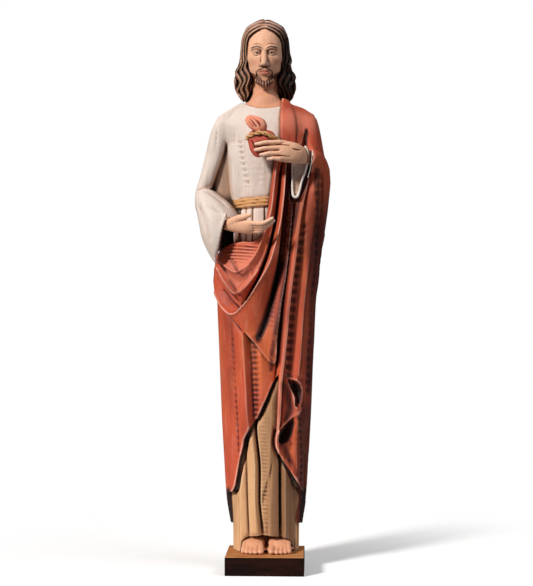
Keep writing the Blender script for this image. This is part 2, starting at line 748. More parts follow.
spots = [lines[k][None] + (lines[k + 1] - lines[k])[None] * share[:, :, None] for k in range(len(SWAG) - 1)]
outs = [bowed(k, heights[k], heights[k + 1]) for k in range(len(SWAG) - 1)]
spots = np.concatenate(spots).reshape(-1, 2)
outs = np.concatenate(outs).reshape(-1)
print("swag drawn from", len(outs), "spots")

# %% [markdown]
# ### From strands to relief
# The swag lies over the mantle. Its spots are dropped on the map, the narrow gaps between them near
# the side are bridged along each row, and the cloth then runs on round the hip.

# %% Drop the swag on the map
HIP_TURN = -1.95
HIP_SINK = 5.0


def drop(relief, turns, heights_z, values):
    """The highest value that falls on each spot of the map, and where there is none, -FAR."""
    rows = np.round((heights_z - relief.levels[0]) / body.step).astype(int)
    columns = np.round((turns + math.pi) / (2 * math.pi) * (TURNS - 1)).astype(int)
    grid = np.full(relief.high.shape, -FAR)
    np.maximum.at(grid, (np.clip(rows, 0, len(grid) - 1), np.clip(columns, 0, TURNS - 1)), values)
    for row in grid:
        filled = np.flatnonzero(row > -FAR)
        if len(filled) < 2:
            continue
        for a, b in zip(filled[:-1], filled[1:]):
            if 1 < b - a < 40:
                row[a : b + 1] = np.interp(np.arange(a, b + 1), [a, b], [row[a], row[b]])
    return grid


turns_at = mantle.turn_of(spots[:, 0], spots[:, 1])
last = lines[:, -1]
round_hip = np.linspace(0, 1, 240)
hip_z, hip_turn, hip_out = [], [], []
for k in range(len(SWAG) - 1):
    z_end = last[k, 1] + (last[k + 1, 1] - last[k, 1]) * share
    out_end = bowed(k, heights[k, -1], heights[k + 1, -1])
    from_turn = mantle.turn_of(np.full(share.shape, last[k, 0]), z_end)
    hip_z.append(np.broadcast_to(z_end, (len(share), len(round_hip))))
    hip_turn.append(from_turn + (HIP_TURN - from_turn) * round_hip[None, :])
    hip_out.append(out_end - (out_end + HIP_SINK) * round_hip[None, :] ** 3)
hip = [np.concatenate(part).reshape(-1) for part in (hip_turn, hip_z, hip_out)]
swag = drop(
    mantle,
    np.concatenate([turns_at, hip[0]]),
    np.concatenate([spots[:, 1], hip[1]]),
    np.concatenate([outs, hip[2]]),
)
on_swag = swag > -FAR
print("swag covers", int(on_swag.sum()), "spots of the map")

# the diagonal lower edge throws a shadow on the cloth under it
LOWER_EDGE = [(15, 352), (-8, 375), (-20, 390), (-37, 409), (-63, 441), (-84, 470)]
mantle.stroke(shifted(LOWER_EDGE, -2), -4.5, 3.2)
mantle.high = np.where(on_swag, swag, mantle.high)
mantle.blur(1)

# %% [markdown]
# ### Finer cuts in the swag
# The rims are thin and crisp, the channels between them are cut deep enough to read as black lines,
# and rows of cross scoops run down the channels.

# %% Rims, dark channels and ripples
on_swag = on_swag & (mantle.z < 745)
for line, high, width in (
    # rims
    (
        [
            (21, 717), (16, 673), (10, 626), (-5, 576), (-13, 554), (-24, 536), (-38, 523), (-51, 520),
            (-66, 530), (-84, 543),
        ],
        2.2, 1.8,
    ),
    ([(-24, 520), (-28, 507), (-45, 489), (-52, 481), (-68, 501), (-84, 529)], 2.4, 2.4),
    (
        [
            (37, 717), (32, 658), (26, 609), (16, 563), (7, 533), (-9, 501), (-30, 464), (-51, 442),
            (-70, 454), (-86, 483),
        ],
        3.0, 2.2,
    ),
    ([(-42, 452), (-58, 470), (-72, 492), (-84, 514)], 2.6, 2.4),
    ([(46, 690), (40, 600), (31, 545), (19, 492), (5, 440), (-10, 404)], 1.6, 1.8),
    # channels
    (
        [(32, 714), (26.5, 662), (21, 614), (9, 563), (-1, 535), (-14, 503), (-34, 468), (-43, 460)],
        -5.0, 2.6,
    ),
    ([(48, 740), (47, 715), (42, 655), (38, 590), (31, 536), (20, 490), (4, 432), (-8, 402)], -6.0, 4.2),
    ([(-66, 548), (-52, 536), (-42, 520), (-34, 526), (-24, 536)], -2.8, 1.8),
    ([(-76, 524), (-62, 500), (-46, 476)], -3.0, 2.6),
    ([(-76, 486), (-62, 466), (-50, 456)], -2.4, 2.8),
):
    mantle.stroke(line, high, width, on_swag)
for line, high, width, pitch in (
    ([(52, 700), (48, 640), (45, 590), (38, 545), (30, 505), (20, 460), (12, 420)], 1.6, 4.5, 8.5),
    ([(-60, 545), (-50, 528), (-44, 510)], 1.2, 4.0, 7.5),
    ([(0, 520), (-18, 484), (-34, 448), (-52, 432)], 0.6, 4.0, 9.0),
    ([(28, 690), (22, 640), (16, 590), (4, 548)], 0.8, 3.0, 9.0),
    ([(12, 440), (-4, 420), (-24, 420), (-46, 436)], 0.6, 6.0, 10.0),
):
    gap, gone, _ = mantle.distance(line)
    mantle.scoops(gap, gone, high, width, pitch, on_swag)
# ripples that lie across the cloth inside the first rim
gap, _, _ = mantle.distance([(-24, 560), (-40, 556), (-54, 554)])
ripple = 2.0 * np.sin(2 * math.pi * (mantle.z + 0.10 * mantle.x) / 6.2) * np.exp(-((gap / 15) ** 2))
mantle.high += ripple * on_swag * unit((mantle.z - 528) / 8)

# %% [markdown]
# ### Openings, the zigzag fold and the edges
# The mantle's front edge turns over on itself in a zigzag under the roll. Two deep hollows are cut
# there, with a thin pale lip left round them. The free edges are undercut, so that the tunic seems
# to pass behind a thick cloth.

# %% Outlines of the openings
OPENING_DEPTH = 13.0
CHEST_OPENING = [
    (33, 900), (31, 844), (29.5, 824), (28.6, 765), (17.5, 717), (11.5, 673), (5.5, 627), (-1, 598),
    (-5, 585), (-12, 579), (-26, 575.5), (-44, 575), (-63, 573), (-86, 562), (-BEYOND, 552), (-BEYOND, 900),
]
SKIRT_LEFT = [
    (26, 332), (15, 316), (8, 300), (2, 285), (-7, 266), (-14, 251), (-22, 241), (-33, 222), (-38, 212),
    (-40, 200), (-44, 184), (-47, 174), (-52, 146), (-56, 123), (-61.5, 112), (-76, 104),
]
SKIRT_RIGHT = [
    (74, 96), (69, 112), (61, 128), (52, 143), (43, 157), (34, 171), (27, 183), (21, 196), (19, 204),
    (19, 213), (22, 228),
]
SKIRT_OPENING = SKIRT_LEFT + [(-BEYOND, 100), (-BEYOND, -20), (BEYOND, -20), (BEYOND, 92)] + SKIRT_RIGHT
UPPER_HOLLOW = [
    (47, 322), (57, 318), (65, 310), (68, 299), (66, 282), (61, 270), (57, 272), (57, 288), (53, 304),
]
LOWER_HOLLOW = [
    (53, 251), (55, 240), (51, 222), (43, 206), (30, 199), (25, 208), (26, 219), (36, 231), (46, 242),
]
SLIT = [(77, 790), (69.5, 755), (68, 749), (81, 748), (79.5, 757)]
BACK_OPENING = [(-BEYOND, 545), (-98, 545), (-60, 660), (-20, 780), (6, 830), (14, 900), (-BEYOND, 900)]

# where the mantle lies over it, the tunic is cut back, so that the mantle can be hollowed out
hidden = np.minimum(
    outline_distance(tunic.x, tunic.z, SKIRT_OPENING), outline_distance(tunic.x, tunic.z, CHEST_OPENING)
)
tunic.high -= 16.0 * unit((hidden - 2) / 4) * tunic.front() * unit((tunic.z - 130) / 30)

# a thin lip along the zigzag, and deep hollows inside it
LIP = [
    (37, 332), (46, 325), (56, 320), (64, 315), (70, 303), (70, 290), (67, 274), (62, 264), (51, 252),
    (40, 243), (29, 231), (22, 222), (19, 209), (21, 196), (34, 171), (52, 143), (69, 112),
]
for outline, deep, soft in ((UPPER_HOLLOW, 17.0, 4.0), (LOWER_HOLLOW, 16.0, 4.0), (SLIT, 20.0, 2.0)):
    inside = outline_distance(mantle.x, mantle.z, outline)
    mantle.high -= deep * unit(0.35 - inside / soft) * mantle.front()
mantle.stroke(LIP, 3.4, 2.2)
mantle.stroke(SKIRT_LEFT[1:-1], 1.6, 2.6)
# the panel beside the roll leans down into the upper hollow, and the cloth under the fold lies back
panel = unit((tunic.x - 32) / 30) * tunic.between(262, 330, 10) * unit((68 - tunic.x) / 6)
mantle.high -= 6.0 * panel * mantle.front()
lower = unit((tunic.x - 26) / 10) * tunic.between(90, 240, 16)
mantle.high -= 4.0 * lower * mantle.front()

# the tunic falls away beside the mantle's edges, which leaves a black gap there
tunic.stroke(shifted(SKIRT_LEFT[:-1], 4.5), -9.0, 4.2)
tunic.stroke(shifted(SKIRT_RIGHT, -3.5), -6.0, 3.6)
tunic.stroke([(54, 130), (58, 110), (60, 60), (60, 5)], -5.0, 4.0)

# %% [markdown]
# ### The back
# The back was carved last and plainly: long vertical folds from the shoulders to the hem, the
# mantle's edge crossing from the right hip to the left shoulder, and broad gouge marks.

# %% Folds of the back
BACK_FOLDS = [
    ([(2.15, 800), (2.1, 500), (2.05, 60)], 1.6, 5.0),
    ([(2.40, 800), (2.35, 500), (2.30, 60)], -2.4, 4.0),
    ([(2.62, 790), (2.55, 500), (2.50, 60)], 2.0, 6.0),
    ([(2.86, 780), (2.76, 500), (2.72, 60)], -2.6, 4.5),
    ([(3.04, 740), (2.98, 500), (2.95, 60)], 1.8, 6.0),
    ([(-3.06, 640), (-3.02, 400), (-3.0, 60)], -2.2, 4.5),
    ([(-2.88, 620), (-2.80, 400), (-2.76, 60)], 1.8, 6.0),
    ([(-2.66, 590), (-2.58, 400), (-2.52, 60)], -2.6, 4.5),
    ([(-2.40, 560), (-2.34, 400), (-2.28, 60)], 1.8, 5.5),
    ([(-2.14, 540), (-2.1, 400), (-2.06, 60)], -2.0, 4.5),
    ([(1.86, 780), (1.84, 500), (1.82, 60)], -2.0, 4.5),
    ([(-1.86, 470), (-1.84, 300), (-1.82, 60)], -1.6, 4.5),
]
for line, high, width in BACK_FOLDS:
    gap = mantle.across(line, behind=True)
    top, foot = line[0][1], line[-1][1]
    mantle.ridge(gap, high, width, mantle.between(foot - 60, top, 60))
    if high < 0:
        down = -mantle.z + 2 * np.sin(mantle.z / 23.0 + line[0][0] * 9)
        mantle.scoops(gap, down, 0.7, width, 12.0, mantle.between(foot, top, 40))
for turn in (-2.95, -2.62, -2.3, 2.9):
    tunic.fold([(turn, 830), (turn * 0.99, 560)], -1.6, 4.0, tunic.between(560, 800, 40), behind=True)
for turn in (-2.9, -2.5, 2.5, 2.9):
    tunic.fold([(turn, 120), (turn, 4)], -1.8, 3.5, tunic.between(-30, 120, 20), behind=True)

# %% [markdown]
# ## Cut the column out of the block
# Tunic and mantle are now turned into distances, and the openings are cut out of the mantle.

# %% Tunic and mantle in the block
TUNIC_TOP = 849.0
MANTLE_FOOT, MANTLE_TOP = 50.0, 848.0
CLOTH_THICKNESS = 2.2
NECK_REACH = 6.0
body.paints["tunic"] = column(body, TUNIC, tunic)
x, y, z = body.axes
ends = np.maximum(-z, z - TUNIC_TOP)[None, None, :]
NECKLINE = profile([
    (-60, 843), (-44, 838), (-32, 831), (-18, 826), (-4, 824), (8, 824.5), (30, 829), (46, 838), (60, 845),
])
NECK_RISE = profile([(-40, 0), (0, 4), (40, 14)])
neckline = z[None, None, :] - NECKLINE(x)[:, None, None] - NECK_RISE(y)[None, :, None]
shoulders = np.maximum(body.paints["tunic"], ends)
body.paints["skin"] = np.maximum(shoulders + CLOTH_THICKNESS, -(neckline + NECK_REACH)).astype(np.float32)
tube(body, "skin", [(-1, 19, 874, 16), (-1, 16, 858, 19), (-1, 10, 846, 23), (-1, 4, 836, 31)], 4.0)
body.paints["tunic"] = -softly(-shoulders, -neckline, 1.0).astype(np.float32)

cloth = column(body, MANTLE, mantle)
cloth = np.maximum(cloth, np.maximum(MANTLE_FOOT - z, z - MANTLE_TOP)[None, None, :]).astype(np.float32)
body.paints["mantle"] = cloth
sawn(body, "mantle", CHEST_OPENING, far=OPENING_DEPTH)
sawn(body, "mantle", SKIRT_OPENING, far=OPENING_DEPTH)
sawn(body, "mantle", BACK_OPENING, near=OPENING_DEPTH)
print("column cut")

# %% [markdown]
# ## Arms and sleeves
# The right arm hangs at the side and bends forward at the elbow, in a wide sleeve whose mouth is
# hollow. The left arm is under the mantle; only its cuff shows. An arm is a stack of level sections,
# wider than an ellipse, with its folds cut in afterwards.

# %% Upright shapes
SQUARER = 2 / 0.85


def upright(block, paint, stations, soft=3.0):
    """A shape through level sections: height, low x, high x, near y, far y."""
    stations = sorted(stations)
    z_low, z_high = stations[0][0], stations[-1][0]
    low = (min(s[1] for s in stations) - 6, min(s[3] for s in stations) - 6, z_low - 8)
    high = (max(s[2] for s in stations) + 6, max(s[4] for s in stations) + 6, z_high + 8)
    spans, x, y, z = block.window(low, high)
    left, right, near, far = (profile([(s[0], s[k]) for s in stations])(z) for k in (1, 2, 3, 4))
    mid_x, mid_y = (left + right) / 2, (near + far) / 2
    across, ahead = np.abs(x - mid_x), np.abs(y - mid_y)
    share = (
        (across / (right - left) * 2) ** SQUARER + (ahead / (far - near) * 2) ** SQUARER
    ) ** (1 / SQUARER)
    shape = np.hypot(across, ahead) * (1 - 1 / np.maximum(share, 1e-3))
    ends = np.maximum(z_low - z, z - z_high)
    shape = -softly(-shape, -ends, 8.0)
    add(block.paint(paint), spans, shape.astype(np.float32), soft)


# the left forearm under the mantle, then the right arm
tube(body, "mantle", [(40, 6, 828, 8), (64, 6, 820, 9), (80, 4, 808, 9)], 9.0)
LEFT_UPPER_ARM = [
    (690, 66, 118, -26, 40), (730, 60, 112, -31, 42), (778, 56, 105, -32, 42), (804, 52, 98, -28, 38),
    (820, 44, 84, -20, 34),
]
upright(body, "mantle", LEFT_UPPER_ARM, 6.0)
tube(body, "mantle", [(100, 6, 712, 15), (93, -24, 720, 15), (82, -52, 730, 12.5)], 14.0)
ELBOW_CREASE = [(101, -22, 734, 0.8), (110, -20, 727, 2.2), (119, -10, 716, 2.0), (121, 4, 706, 1.0)]
tube(body, "mantle", ELBOW_CREASE, 2.0, carve=True)
ARMPIT = [
    (560, -92, -50, -8, 40), (652, -104, -50, -8, 44), (700, -106, -50, -10, 44), (770, -86, -50, -14, 44),
]
UPPER_ARM = [
    (655, -133, -112, -16, 42),
    (674, -133, -104, -22, 43),
    (690, -128, -97, -24, 44),
    (716, -121, -86, -25, 44),
    (740, -116, -77, -25, 44),
    (761, -112, -70, -27, 44),
    (796, -105, -56, -27, 43),
    (812, -98, -50, -18, 40),
    (824, -82, -44, -10, 36),
]
SLEEVE = [
    (537, -95, -84, -50, -34),
    (546, -99, -76, -54, -24),
    (558, -106, -66, -60, -12),
    (583, -117, -52, -66, 2),
    (609, -123, -48, -66, 14),
    (627, -127, -50, -62, 24),
    (648, -133, -64, -52, 34),
    (664, -134, -84, -38, 40),
    (676, -128, -98, -28, 38),
]
upright(body, "tunic", ARMPIT, 3.0)
upright(body, "tunic", UPPER_ARM, 2.5)
upright(body, "tunic", SLEEVE, 7.0)
SHOULDER_FILL = [
    (757, -77, -61, -16, 30), (768, -84, -48, -25, 36), (794, -82, -40, -28, 38), (816, -70, -38, -20, 34),
]
upright(body, "tunic", SHOULDER_FILL, 6.0)
CHEST_SIDE = [
    (634, -61, -40, -14, 30), (652, -64, -32, -20, 30), (676, -67.5, -30, -27, 30),
    (710, -69.5, -30, -29, 30), (742, -71.5, -32, -29, 30), (766, -74, -42, -24, 30),
    (790, -74, -52, -16, 30),
]
upright(body, "tunic", CHEST_SIDE, 7.0)
INNER_ARM = [
    (672, -114, -103, -18, 40), (700, -110, -92, -23, 42), (735, -106, -78.5, -25, 42),
    (765, -100, -69, -26, 42), (790, -92, -60, -24, 40),
]
upright(body, "tunic", INNER_ARM, 3.5)
tube(body, "tunic", [(-42, 4, 832, 8), (-58, 2, 826, 9), (-78, 0, 810, 11)], 10.0)
body.paints["tunic"] = -softly(-body.paints["tunic"], -neckline, 1.0).astype(np.float32)

# both shoulders slope straight down to the elbows
LEFT_SLOPE = [
    (-40, 846), (-52, 837.5), (-89, 814), (-104, 781), (-116, 734), (-133, 678), (-133.6, 640),
    (-133.6, 560), (-220, 560), (-220, 930), (-40, 930),
]
RIGHT_SLOPE = [
    (54, 841), (74, 832), (97, 815), (105, 779), (111, 747), (121, 715), (122.4, 688), (117.5, 636),
    (112, 596), (220, 596), (220, 930), (54, 930),
]
sawn(body, "tunic", LEFT_SLOPE, soft=4.0)
sawn(body, "mantle", RIGHT_SLOPE, soft=4.0)

# %% [markdown]
# ### Folds of the right sleeve
# The crook of the elbow gathers the cloth into a deep crease that curls over the forearm, and long
# folds fall from the shoulder. The sleeve's mouth is hollowed out round the wrist.

# %% Creases and the hollow mouth
CREASES = [
    [(-112, -27, 682, 0.3), (-104, -29, 686, 1.2), (-96, -29, 692, 1.3), (-88, -28, 703, 0.7)],
    [(-90, -27, 790, 0.5), (-92, -28, 750, 0.9), (-96, -27, 706, 0.7)],
]
for crease in CREASES:
    tube(body, "tunic", crease, 3.5, carve=True)
SOFT_FOLDS = [
    [(-112, -58, 650, 0.4), (-102, -60, 644, 1.2), (-91, -61.5, 637, 1.4), (-78, -64, 629, 0.8)],
    [(-124, -44, 642, 0.5), (-117, -56, 622, 1.2), (-107, -64, 598, 1.2), (-100, -65, 576, 0.6)],
    [(-110, -33, 672, 0.6), (-94, -38, 664, 1.5), (-78, -45, 652, 1.5), (-67, -50, 643, 0.8)],
]
for fold in SOFT_FOLDS:
    tube(body, "tunic", fold, 8.0, carve=True)
SLEEVE_END = [
    (-74, 614), (-79, 600), (-85, 570), (-91, 546), (-86, 530), (-66, 530), (-57, 572), (-57, 604),
    (-62, 614),
]
sawn(body, "tunic", SLEEVE_END, far=0.0)
SLEEVE_RIM = [
    (-71, -61, 626, 1.0), (-74, -63, 616, 1.7), (-79, -65, 600, 2.0), (-85, -61, 571, 2.0),
    (-90, -50, 546, 1.6),
]
tube(body, "tunic", SLEEVE_RIM, 2.0)

# %% [markdown]
# ### The left cuff and the hem
# The tunic's left sleeve hangs from the wrist as a pointed, hollow fold with a thick pale edge. The
# hem rises in one low arch over both feet.

# %% Cuff and hem
CUFF_HOLE = [
    (60, 756), (47, 740), (46.5, 655), (51, 649), (62, 650), (72, 668), (84, 700), (90, 730), (84, 752),
]
sawn(body, "mantle", CUFF_HOLE, far=-36.0)
CUFF_PANEL = [(54, 742), (51, 713), (52, 664), (59, 661), (69, 691), (78, 728), (76, 742)]
body.paints["tunic"] = softly(body.paints["tunic"], prism(body, CUFF_PANEL, -50.0, -20.0), 1.5)
CUFF_RIM = [
    (75, -66, 748), (79.5, -67, 738), (79, -64, 722), (75, -59, 704), (69, -55, 688), (64, -54, 668),
    (60, -54, 658), (54, -54, 658), (51.5, -54, 666), (51, -53, 690), (50.5, -52, 718),
]
for back in (0.0, 3.0, 6.0, 9.0):
    tube(body, "tunic", [(x, y + back, z, 1.9) for x, y, z in CUFF_RIM], 1.2)
tube(body, "tunic", [(88, -62, 740, 1.0), (86, -60, 718, 1.3), (80, -57, 692, 1.0)], 0.8)

ARCH = [
    (-48, -10), (-46, 8), (-43, 20), (-37, 26), (-26, 30), (-13, 32), (-3, 31.5), (8, 32), (26, 29.5),
    (40, 26), (47, 19), (50.5, 9), (52, -10),
]
ARCH_DEPTH = 4.0
sawn(body, "tunic", ARCH, far=ARCH_DEPTH)

# %% [markdown]
# ## Feet
# Bare feet stand side by side under the hem. Each is a wide sole and instep with five toes; the big
# toes are on the inside. They get a finer grid than the robe.

# %% Two feet
feet = Block((-50, -44, -0.5), (55, 16, 40), 0.6)
TOES = [(-14.0, -37.5, 4.3), (-4.6, -37.8, 3.4), (3.2, -36.4, 3.2), (10.4, -34.0, 3.0), (17.0, -30.6, 2.9)]
for side, middle in ((-1, -22.5), (1, 26.5)):
    instep = [
        (middle, 14, 20, 11), (middle, -4, 16, 10.0), (middle, -15, 10.5, 8.5), (middle, -24, 5.5, 5.0),
    ]
    tube(feet, "skin", instep, 3.0, wide=(1, 0, 0), flat=0.52)
    tube(feet, "skin", [(middle, 14, 6, 6.5), (middle, -26, 4.0, 4.0)], 3.0, wide=(1, 0, 0), flat=0.25)
    for across, front, radius in TOES:
        toe = middle + side * across
        splay = toe + side * across * 0.05
        rows = [
            (toe * 0.92 + middle * 0.08, -10, 21 - radius, radius), (toe, -20, 15.5 - radius, radius),
            (splay, -29, radius + 3.0, radius), (splay, front + 1, radius, radius * 0.96),
        ]
        tube(feet, "skin", rows, 1.4, wide=(1, 0, 0), flat=0.80)
        nail = (splay, front + 0.6, radius * 1.75)
        ball(feet, "skin", nail, (radius * 0.75, radius * 0.8, 1.0), (-32, 0, 0), 0.3, carve=True)
        ball(feet, "skin", nail, (radius * 0.62, radius * 0.7, 0.9), (-32, 0, 0), 0.2)
feet.paints["skin"] = np.maximum(feet.paints["skin"], -feet.axes[2][None, None, :])

# %% [markdown]
# ## The open right hand
# The hand comes out of the wide sleeve, palm up. A palm is a flat tube; each finger bends at its
# joints and the thumb lies along the top.

# %% Right hand
right_hand = Block((-104, -106, 583), (27, 0, 640), 0.6)
ACROSS_PALM = (0, -0.59, 0.8)
PALM = [
    (-98, -14, 622, 8), (-72, -46, 609, 6.6), (-54, -64, 604.5, 7.2), (-34, -77, 601, 7.4),
    (-22, -82, 600, 6.2),
]
tube(right_hand, "skin", PALM, 2.0, wide=ACROSS_PALM, flat=0.56)
for k, reach in enumerate((0.94, 1.0, 0.92, 0.74)):
    lift = 10.5 - k * 7.0
    dy, dz = -0.60 * lift, 0.62 * lift
    slim = 3.9 - 0.2 * k
    finger = [
        (-28, -79 + dy, 600.5 + dz, 4.6),
        (-24 + 20 * reach, -89 + dy, 598.5 + dz, slim),
        (-24 + 33 * reach, -91 + dy, 602.5 + dz, slim - 0.4),
        (-24 + 42.5 * reach, -89.5 + dy, 608.0 + dz, slim - 1.2),
    ]
    tube(right_hand, "skin", finger, 0.5)
    ball(right_hand, "skin", finger[1][:3], (4.2, slim + 0.2, slim + 0.1), soft=0.8)
THUMB = [(-62, -62, 610, 6.5), (-47, -78, 616, 5.4), (-36, -85, 618, 4.7), (-25.5, -88, 621, 3.5)]
tube(right_hand, "skin", THUMB, 2.0)
ball(right_hand, "skin", (-44, -80, 617), (5.6, 5.3, 5.2), soft=1.5)

# %% [markdown]
# ## The left hand and the heart
# The left hand comes out of the cuff and holds the heart against the breast with four straight
# fingers. The heart is two lobes over a point, tied round with a twisted ring, with a flame on top.

# %% Left hand
held = Block((-36, -106, 700), (102, -34, 808), 0.6)
BACK_OF_HAND = [
    (84, -48, 730, 6.0), (72, -67, 731.5, 6.6), (57, -79, 734.5, 8.0), (38, -85.5, 736.5, 8.4),
    (27, -87.5, 737, 7.2),
]
tube(held, "skin", BACK_OF_HAND, 2.0, wide=(0, 0, 1), flat=0.46)
FINGERS = [(-15, 748.8, 3.7), (-16.2, 738.4, 3.7), (-6.5, 729.6, 3.5), (6.5, 721.8, 3.1)]
for k, (tip_x, tip_z, radius) in enumerate(FINGERS):
    root = 752.6 - 10.0 * k
    bend_x = tip_x + (29 - tip_x) * 0.45
    bend_z = root * 0.45 + tip_z * 0.55 + 1.0
    rows = [
        (38, -85, root, 4.4), (28, -91, root - 0.2, 4.4), (bend_x, -96.5 + k, bend_z, radius),
        (tip_x + 9, -97 + k, tip_z + 0.8, radius * 0.94), (tip_x + 1, -95 + k, tip_z, radius * 0.74),
    ]
    tube(held, "skin", rows, 0.5)
    ball(held, "skin", (28, -91, root), (4.8, 4.7, 4.5), soft=1.0)
    ball(held, "skin", (bend_x, -96.6 + k, bend_z), (3.6, radius + 0.2, radius + 0.1), soft=0.6)
    ball(held, "skin", (tip_x + 2.5, -97.0 + k, tip_z + 0.8), (3.0, 2.0, 2.1), (0, 0, 12), 0.3)
for k in range(3):
    low = 747.6 - 10.0 * k
    reach = max(FINGERS[k][0], FINGERS[k + 1][0])
    fork = (FINGERS[k][1] + FINGERS[k + 1][1]) / 2
    between = [
        (reach - 4, -98, fork, 1.2), (reach + 14, -97, (fork + low) / 2, 1.0), (26, -94, low, 1.1),
        (36, -93, low - 0.3, 1.0), (48, -90, low - 1.2, 0.5),
    ]
    tube(held, "skin", between, 0.8, carve=True)
tube(held, "skin", [(52, -89, 741, 0.4), (60, -86, 739, 1.0), (68, -81, 739.5, 0.4)], 1.5, carve=True)

# %% Heart, ring and flame
ball(held, "heart", (-14.5, -80, 761.5), (15.5, 12.5, 16), (0, 18, 0), 5.0)
ball(held, "heart", (6.5, -80, 761), (15, 12.5, 15.5), (0, -12, 0), 5.0)
HEART_POINT = [(-5, -81, 756, 12.5), (-8, -82, 743, 9.5), (-10, -83, 731, 4.0)]
tube(held, "heart", HEART_POINT, 4.0, wide=(1, 0, 0), flat=0.62)
for groove in (
    [(-4, -90, 777, 0.8), (-4.5, -93, 771, 1.8), (-5, -94, 761, 0.5)],
    [(-25, -89, 771, 0.5), (-17, -91, 774.5, 1.1), (-9, -92, 772, 0.5)],
    [(2, -92, 773.5, 0.5), (9, -91, 773, 1.0), (16, -88, 767, 0.5)],
    [(-22, -90, 756, 0.4), (-18, -91.5, 748, 1.1), (-14, -91, 738, 0.4)],
):
    tube(held, "heart", groove, 2.0, carve=True)
RING_BENDS = profile([
    (-200, 763), (-165, 762), (-130, 766), (-100, 769.5), (-75, 768), (-50, 763), (-25, 761), (25, 762),
])
RING_X, RING_Y, RING_Z = -4.0, -81.0, 764.0
RING_HALF_WIDTH, RING_HALF_DEPTH = 27.0, 14.5
ring = []
for turn in np.arange(-200, 25, 7.5):
    across, ahead = math.cos(math.radians(turn)), math.sin(math.radians(turn))
    place = (RING_X + RING_HALF_WIDTH * across, RING_Y + RING_HALF_DEPTH * ahead, float(RING_BENDS(turn)))
    ring.append(place)
ring = np.array(ring)
for start in (0, math.pi):
    twist = start + np.arange(len(ring)) * 0.85
    strand = np.column_stack([
        ring[:, 0], ring[:, 1] + 1.0 * np.cos(twist), ring[:, 2] + 2.1 * np.sin(twist),
    ])
    tube(held, "thorns", np.column_stack([strand, np.full(len(ring), 2.0)]), 0.5, count=2)
FLAME = [
    [
        (-7, -85, 772, 6.5), (-11, -87, 781, 8.5), (-19, -88, 790, 7.5), (-25, -88, 797, 4.0),
        (-27, -87, 802.5, 1.4),
    ],
    [
        (-4, -84, 773, 6.0), (-3, -86, 784, 7.5), (-8, -88, 792, 6.0), (-16, -88, 798, 3.0),
        (-23, -87, 801, 1.2),
    ],
    [
        (-9, -86, 774, 4.0), (-19, -88, 781, 5.0), (-27, -88, 788, 4.2), (-31, -87, 795, 2.4),
        (-31, -87, 799, 1.2),
    ],
    [(-2, -83, 774, 4.5), (1.5, -84, 782, 4.0), (0.5, -85, 790, 2.4), (-3, -85, 796, 1.0)],
]
for tongue in FLAME:
    tube(held, "flame", tongue, 1.6)
for groove in (
    [(-10, -93, 777, 0.8), (-16, -95, 784, 2.0), (-22, -94.5, 792, 1.7), (-27, -92, 800, 0.9)],
    [(-5, -91, 777, 0.8), (-8, -94, 786, 2.0), (-14, -94.5, 793, 1.7), (-20, -92, 799, 0.9)],
    [(-14, -92, 778, 0.5), (-22, -94, 784, 1.2), (-28, -92.5, 791, 0.9)],
    [(0, -89, 778, 0.5), (-1, -92, 785, 1.2), (-5, -92, 792, 0.8)],
):
    tube(held, "flame", groove, 0.8, carve=True)

# %% [markdown]
# ## The head
# The head is worked in its own upright frame and bowed afterwards. The face is a calm one on the
# proportions of a drawing book: eyes at half the head's height, one eye's width between them, the
# base of the nose a third up from the chin to the hairline, the mouth a third below the nose.

# %% Proportions of the head
HEAD_CENTRE = np.array([-1.0, 2.0, 931.6])
HEAD_BOW = 11.0
EYE_LEVEL = 4.5
EYE_APART = 14.2
NOSE_BASE = -20.5
MOUTH_LEVEL = -31.0
CHIN = -54.0

head = Block((-64, -62, -112), (64, 52, 68), 0.62)

# %% [markdown]
# ### Skull, jaw and features
# Big forms come first: cranium, face, jaw and neck, joined softly. Then sockets are pressed in, and
# brows, nose, lids, cheeks and lips are laid on.

# %% The face
def mirrored(side, *rows):
    """Rows of x, y, z, radius on the left, where the side is -1, or on the right."""
    return [(side * x, *rest) for x, *rest in rows]


ball(head, "skin", (0, 0, 20), (35, 40, 41), soft=6)
ball(head, "skin", (0, -13, 6), (31.5, 31.5, 36), soft=8)
JAW = [(0, -18, 0, 26.5), (0, -22, -22, 21.0), (0, -25, -40, 13.5)]
tube(head, "skin", JAW, 8, wide=(1, 0, 0), flat=0.93)
ball(head, "skin", (0, -38, CHIN + 8), (10, 8, 8), soft=6)
for side in (-1, 1):
    ball(head, "skin", (side * 22, -27, -7), (9, 10, 9), soft=7)
    ball(head, "skin", (side * 20, -12, -26), (8.5, 18, 13), (0, side * 14, 0), 8)
    socket = (side * EYE_APART, -47.5, EYE_LEVEL)
    ball(head, "skin", socket, (9.6, 7.0, 6.2), (0, 0, side * 14), 5, carve=True)
    ridge = mirrored(side, (5, -44.5, 11.5, 2.6), (14, -43.5, 14.0, 2.8), (23, -37.5, 11.5, 2.4))
    tube(head, "skin", ridge, 4)
    ball(head, "skin", (side * (EYE_APART - 0.4), -36.2, EYE_LEVEL), (7.3, 6.9, 6.6), soft=0.8)
NOSE = [(0, -41, 12, 3.4), (0, -44.5, 3, 3.2), (0, -49.5, -8, 3.9), (0, -52.0, -15.5, 4.4)]
tube(head, "skin", NOSE, 3.5)
ball(head, "skin", (0, -53.2, NOSE_BASE + 4.4), (4.6, 4.6, 4.2), soft=2.5)
